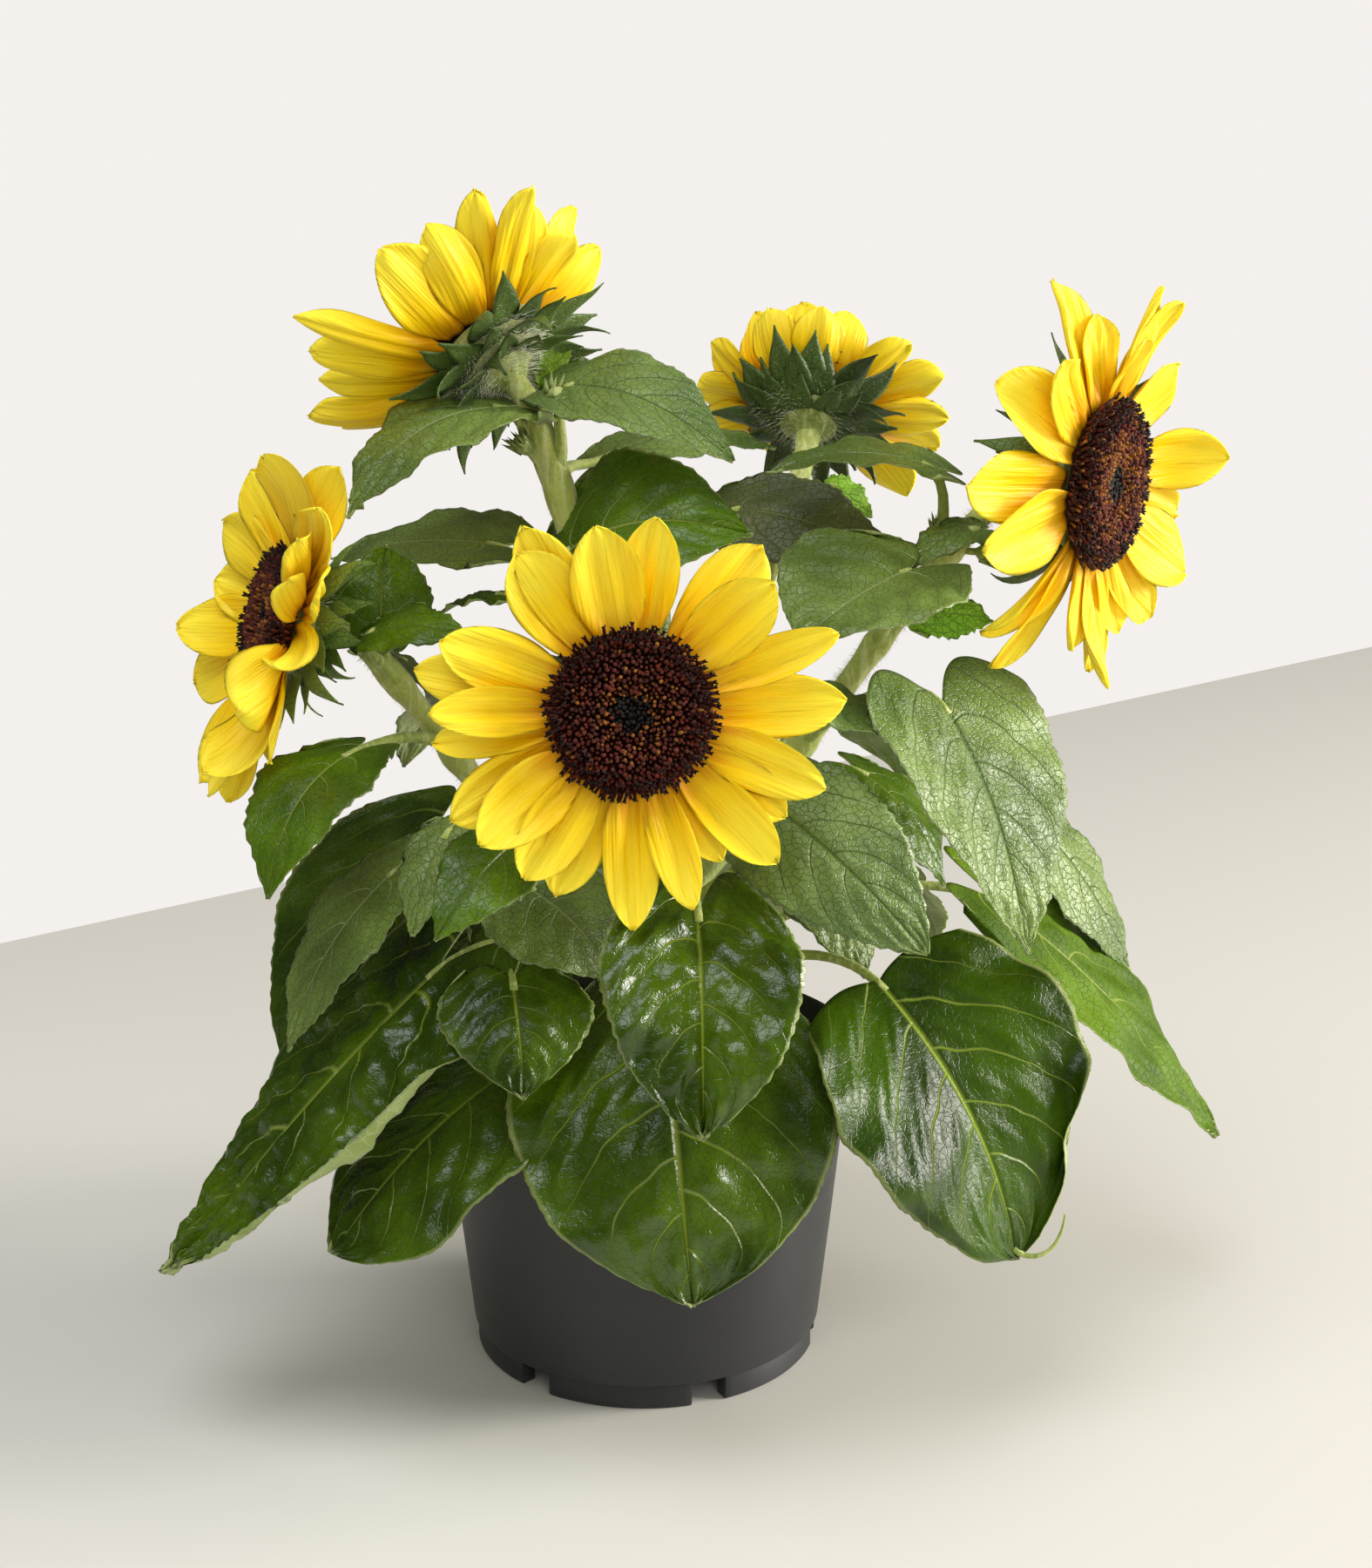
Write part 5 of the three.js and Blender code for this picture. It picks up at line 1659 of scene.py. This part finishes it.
    def build(self) -> None:
        """Make the bloom's three pieces and seat them."""
        axes, neck = self.axes()
        for part, form, slot, looks in (
            ("cup", self.cup(), "calyx", (Look.CUP, self.plan.bract, Look.DOWN)),
            ("rays", Form.join([self.ray(i) for i in range(len(RAYS[self.name]))]), "petal", (Look.PETAL,)),
            ("disc", self.florets(), "disc", (Look.BED, Look.MAROON, Look.AMBER, Look.EYE, Look.KNOB)),
        ):
            name = f"bloom_{self.name}_{part}"
            piece = make_object(f"{name}_fine", form.moved(axes, neck), [look.material() for look in looks])
            seat(piece, slot, name)


@dataclass
class Pot:
    """The grower pot: its turned wall with a rim band, and its ring of feet."""

    rim_radius: float = 85.0
    band_bottom: float = 106.0
    height: float = 128.0
    groove_height: float = 121.0
    groove_depth: float = 1.2
    wall_top_radius: float = 81.0
    wall_foot_radius: float = 71.0
    waist_radius: float = 76.0
    waist_height: float = 57.0
    wall: float = 2.0
    foot_height: float = 10.0
    foot_radius: float = 69.5
    foot_width: float = 7.0
    feet: int = 6
    slot_width: float = 14.0
    slot_turn: float = 9.0
    floor: float = 2.5
    pad_radius: float = 16.0
    segments: int = 128
    arch: float = 1.6
    edge_width: float = 0.5

    def profile(self) -> list[tuple[float, float]]:
        """Radius and height of the wall's section, from the axis under the floor to the axis over it."""
        rim, top, foot, wall = self.rim_radius, self.wall_top_radius, self.wall_foot_radius, self.wall
        low, band, groove, high = self.foot_height, self.band_bottom, self.groove_height, self.height
        inside = rim - wall
        return [
            (0, low), (self.pad_radius, low), (foot - 1.5, low), (foot - 0.4, low + 0.4), (foot, low + 1.5),
            (self.waist_radius, self.waist_height), (top, band - 0.4), (top + 0.6, band), (rim - 1, band),
            (rim - 0.2, band + 0.4), (rim, band + 1.5), (rim, groove - 1), (rim - 0.5, groove - 0.7),
            (rim - self.groove_depth, groove), (rim - 0.3, groove + 0.8), (rim + 0.2, groove + 1.8),
            (rim + 0.2, high - 1.8), (rim - 0.3, high - 0.5), (rim - 1.2, high), (inside - 0.6, high),
            (inside - 1.1, high - 0.7), (inside - 1.5, band + wall), (top - wall, band - 2),
            (foot - wall, low + self.floor), (0, low + self.floor),
        ]

    def spun(
        self, name: str, outline: Sequence[Numbers], closed: bool, start: float, sweep: float, steps: int
    ) -> Object:
        """A body spun about the pot's axis.

        Args:
            name: Name of the object.
            outline: Radius and height of its section.
            closed: Whether the section closes on itself, and is filled.
            start: Heading where it begins, in degrees.
            sweep: How far it is spun, in degrees.
            steps: How many faces that takes.

        Returns:
            The new object.
        """
        mesh = bpy.data.meshes.new(name)
        way = direction(start, 0)
        points = [tuple((way * radius + UP * height) * MM) for radius, height in outline]
        edges = [(i, i + 1) for i in range(len(points) - 1)] + ([(len(points) - 1, 0)] if closed else [])
        mesh.from_pydata(points, edges, [])
        body = bpy.data.objects.new(name, mesh)
        bpy.context.scene.collection.objects.link(body)
        select_only(body)
        bpy.ops.object.mode_set(mode="EDIT")
        bpy.ops.mesh.select_all(action="SELECT")
        if closed:
            bpy.ops.mesh.edge_face_add()
        bpy.ops.mesh.spin(steps=steps, angle=math.radians(sweep), center=(0, 0, 0), axis=(0, 0, 1))
        bpy.ops.mesh.select_all(action="SELECT")
        bpy.ops.mesh.remove_doubles(threshold=0.00002)
        bpy.ops.mesh.normals_make_consistent(inside=False)
        bpy.ops.object.mode_set(mode="OBJECT")
        return body

    def foot(self, index: int) -> Object:
        """One foot: an arc of wall with soft edges, a little arched between its ends."""
        gap = math.degrees(self.slot_width / self.foot_radius)
        pitch = 360 / self.feet
        inner, outer, top = self.foot_radius - self.foot_width, self.foot_radius, self.foot_height + 0.5
        outline = [(inner, 0), (outer - 0.8, 0), (outer, 1), (outer, top), (inner, top)]
        start = self.slot_turn + pitch * index + gap / 2
        body = self.spun(f"pot_foot_{index}", outline, True, start, pitch - gap, 18)
        middle = math.radians(start + (pitch - gap) / 2)
        for vertex in body.data.vertices:
            heading = math.atan2(vertex.co.x, -vertex.co.y)
            away = math.remainder(heading - middle, math.tau) / math.radians((pitch - gap) / 2)
            if vertex.co.z < 1.5 * MM:
                vertex.co.z += self.arch * MM * float(1 - eased(0.35, 0.62, abs(away)))
        return body

    def build(self) -> None:
        """Make the pot and seat it."""
        top = self.foot_height + 0.5
        pad = [(0, 0), (self.pad_radius - 0.8, 0), (self.pad_radius, 0.8), (self.pad_radius, top), (0, top)]
        pieces = [self.spun("pot_body", self.profile(), False, 0, 360, self.segments)]
        pieces += [self.foot(index) for index in range(self.feet)]
        pieces.append(self.spun("pot_pad", pad, False, 0, 360, 48))
        select_only(*pieces)
        bpy.ops.object.join()
        pot = bpy.context.object
        bevel = pot.modifiers.new("edges", "BEVEL")
        bevel.width, bevel.segments = self.edge_width * MM, 2
        bevel.limit_method, bevel.angle_limit = "ANGLE", math.radians(55)
        bpy.ops.object.modifier_apply(modifier="edges")
        bpy.ops.object.shade_smooth_by_angle(angle=math.radians(38))
        pot.data.materials.append(Look.POT.material())
        seat(pot, "pot", "pot")


@dataclass
class Soil:
    """The soil in the pot: a lumpy bed with loose crumbs and chips of bark."""

    middle: float = SOIL_MIDDLE
    edge: float = 109.0
    flat_radius: float = 16.0
    radius: float = 78.6
    foot_radius: float = 68.5
    bottom: float = 12.9
    shoulder: float = 103.0
    crumbs: int = 1500
    chips: int = 60

    def height(self, radius: Array, turn: Array) -> Array:
        """Height of the bed at some places."""
        rings = [0, self.flat_radius, (self.radius + self.flat_radius) / 2, self.radius]
        level = np.interp(radius, rings, [self.middle, self.middle, self.edge + 1.5, self.edge])
        calm = 1 - eased(self.radius - 9, self.radius, radius)
        return level + calm * (0.9 * np.sin(radius / 6 + turn * 3) + 0.7 * np.sin(turn * 11 + radius / 9))

    def bed(self, pot: Pot) -> Object:
        """The bed, spun from its section and roughened."""
        radii = np.linspace(self.radius, 0, 27)
        outline = [(0, self.bottom), (self.foot_radius, self.bottom), (self.radius, self.shoulder)]
        outline += [(float(radius), self.edge) for radius in radii]
        bed = pot.spun("soil_bed", outline, False, 0, 360, 120)
        for vertex in bed.data.vertices:
            if vertex.co.z > (self.edge - 1) * MM:
                radius = math.hypot(vertex.co.x, vertex.co.y) / MM
                turn = math.atan2(vertex.co.y, vertex.co.x)
                vertex.co.z = float(self.height(np.array([radius]), np.array([turn]))[0]) * MM
        return bed

    def lump(self, size: float, flatness: float, seed: float) -> Form:
        """One uneven crumb with twenty faces."""
        select_only()
        bpy.ops.mesh.primitive_ico_sphere_add(subdivisions=1, radius=size)
        ball = bpy.context.object
        points = np.array([vertex.co for vertex in ball.data.vertices])
        faces = np.array([tuple(face.vertices) for face in ball.data.polygons])
        bpy.data.objects.remove(ball)
        points = points * (1 + 0.28 * scatter(np.arange(len(points)), seed))[:, None]
        points[:, 2] *= flatness
        return Form(points, faces, np.zeros((len(points), 4)), np.zeros(len(faces), int))

    def strewn(self, count: int, form: Form, seed: float, least: float) -> Form:
        """Copies of a crumb strewn over the bed."""
        index = np.arange(count)
        radius = 9 + np.sqrt((index + 0.5) / count) * (self.radius - 12)
        turn = index * GOLDEN_TURN + seed
        lean = unit(np.stack([scatter(index, seed), scatter(index, seed + 1), 1.2 + 0 * index], 1))
        size = least + (1 - least) * (scatter(index, seed + 2) + 1) / 2
        axes = axes_along(lean, spokes(turn * 3)) * size[:, None, None]
        height = self.height(radius, turn) + 0.4
        origins = np.stack([radius * np.cos(turn), radius * np.sin(turn), height], 1)
        return form.copies(axes, origins)

    def build(self, pot: Pot) -> None:
        """Make the soil and seat it."""
        bed = self.bed(pot)
        bed.data.materials.append(Look.SOIL.material())
        seat(bed, "soil", "soil")
        share = self.crumbs // 3
        crumbs = [self.strewn(share, self.lump(size, 0.8, size), size, 0.35) for size in (1.3, 1.9, 2.6)]
        chips = self.strewn(self.chips, self.lump(3.0, 0.3, 9.0), 4.0, 0.4)
        for name, form, look in (("crumbs", Form.join(crumbs), Look.SOIL), ("chips", chips, Look.CHIP)):
            seat(make_object(f"soil_{name}", form, [look.material()]), "soil")


@dataclass
class Studio:
    """Floor, lights and camera; each lamp has its place, size, power, colour and whether gloss mirrors it."""

    eye: tuple[float, float, float] = (0.0, -0.95, 0.49)
    pitch: float = 15.1
    yaw: float = 0.99
    lens: float = 57.6
    floor_colour: str = "dad8cf"
    wall_colour: str = "f4f0ed"
    ambient: float = 0.51
    mirrored: float = 0.04

    FLOOR = ((-2.6, -2.2, 0), (2.6, -2.2, 0), (-2.6, -1.24, 0), (2.6, 2.86, 0))
    LAMPS = (
        ("window", (2.75, -0.05, 1.0), 1.5, 120, "fffaf4", True),
        ("sky", (-0.3, -0.5, 1.6), 1.1, 12.5, "f6f9ff", True),
        ("front", (0.5, -2.0, 1.0), 1.4, 9, "ffffff", False),
    )

    def camera(self) -> None:
        """Set the camera at the photograph's height and angle."""
        data = bpy.data.cameras.new("view")
        data.lens, data.sensor_width, data.sensor_fit = self.lens, 36.0, "AUTO"
        data.clip_start, data.clip_end = 0.05, 50.0
        camera = bpy.data.objects.new("view", data)
        camera.location = self.eye
        camera.rotation_euler = (math.radians(90 - self.pitch), 0, math.radians(-self.yaw))
        bpy.context.scene.collection.objects.link(camera)
        bpy.context.scene.camera = camera

    def floor(self) -> None:
        """Lay the plain pale floor, whose far edge slants behind the plant."""
        select_only()
        bpy.ops.mesh.primitive_plane_add(size=2, location=(0, 0, 0))
        floor = bpy.context.object
        floor.name = "floor"
        for vertex, corner in zip(floor.data.vertices, self.FLOOR):
            vertex.co = corner
        material, wiring = new_material("floor_satin")
        wiring.surface(shade(self.floor_colour), 0.34, Specular_IOR_Level=0.35)
        floor.data.materials.append(material)

    def lamp(self, name: str, place: Numbers, size: float, power: float, colour: str, mirrored: bool) -> None:
        """Add a large soft lamp that faces the plant, and that shows in its gloss where it is mirrored."""
        data = bpy.data.lights.new(name, "AREA")
        data.shape, data.size, data.energy = "DISK", size, power
        data.color = shade(colour)[:3]
        lamp = bpy.data.objects.new(name, data)
        lamp.location = place
        towards = Vector((0, 0, 0.25)) - Vector(place)
        lamp.rotation_euler = towards.to_track_quat("-Z", "Y").to_euler()
        lamp.visible_glossy = mirrored
        bpy.context.scene.collection.objects.link(lamp)

    def build(self) -> None:
        """Set up the studio."""
        world = bpy.data.worlds.new("room")
        world.use_nodes = True
        wiring = Wiring(world.node_tree)
        path = wiring.node("LightPath").outputs
        lit = wiring.times(path["Is Camera Ray"], 1 - self.ambient)
        dimmed = wiring.times(path["Is Glossy Ray"], self.ambient - self.mirrored)
        room = world.node_tree.nodes["Background"]
        room.inputs["Color"].default_value = shade(self.wall_colour)
        wiring.feed(room.inputs["Strength"], wiring.minus(wiring.plus(self.ambient, lit), dimmed))
        bpy.context.scene.world = world
        bpy.context.scene.view_settings.view_transform = "Standard"
        self.floor()
        for lamp in self.LAMPS:
            self.lamp(*lamp)
        self.camera()


def main() -> None:
    """Build the plant, its pot and the studio."""
    logging.basicConfig(level=logging.INFO, format="%(message)s")
    bpy.ops.object.select_all(action="DESELECT")
    Studio().build()
    pot = Pot()
    pot.build()
    Soil().build(pot)
    for name in STEMS:
        joints = [leaf.at for leaf in LEAVES.values() if leaf.stem == name]
        joints += [plan.foot for other, plan in STEMS.items() if other != "main" and name == "main"]
        Stem(name, joints).build()
    for number, (name, leaf) in enumerate(LEAVES.items()):
        seat(leaf.build(name, number * 1.37), "leaf", f"leaf_{name}")
    for number, (name, leaf) in enumerate(SPARE_LEAVES.items()):
        seat(leaf.build(f"spare_{name}", number * 2.3), "leaf")
    for name, bud in BUDS.items():
        seat(bud.build(name), "calyx")
    for name in BLOOMS:
        Bloom(name).build()


if __name__ == "__main__":
    main()
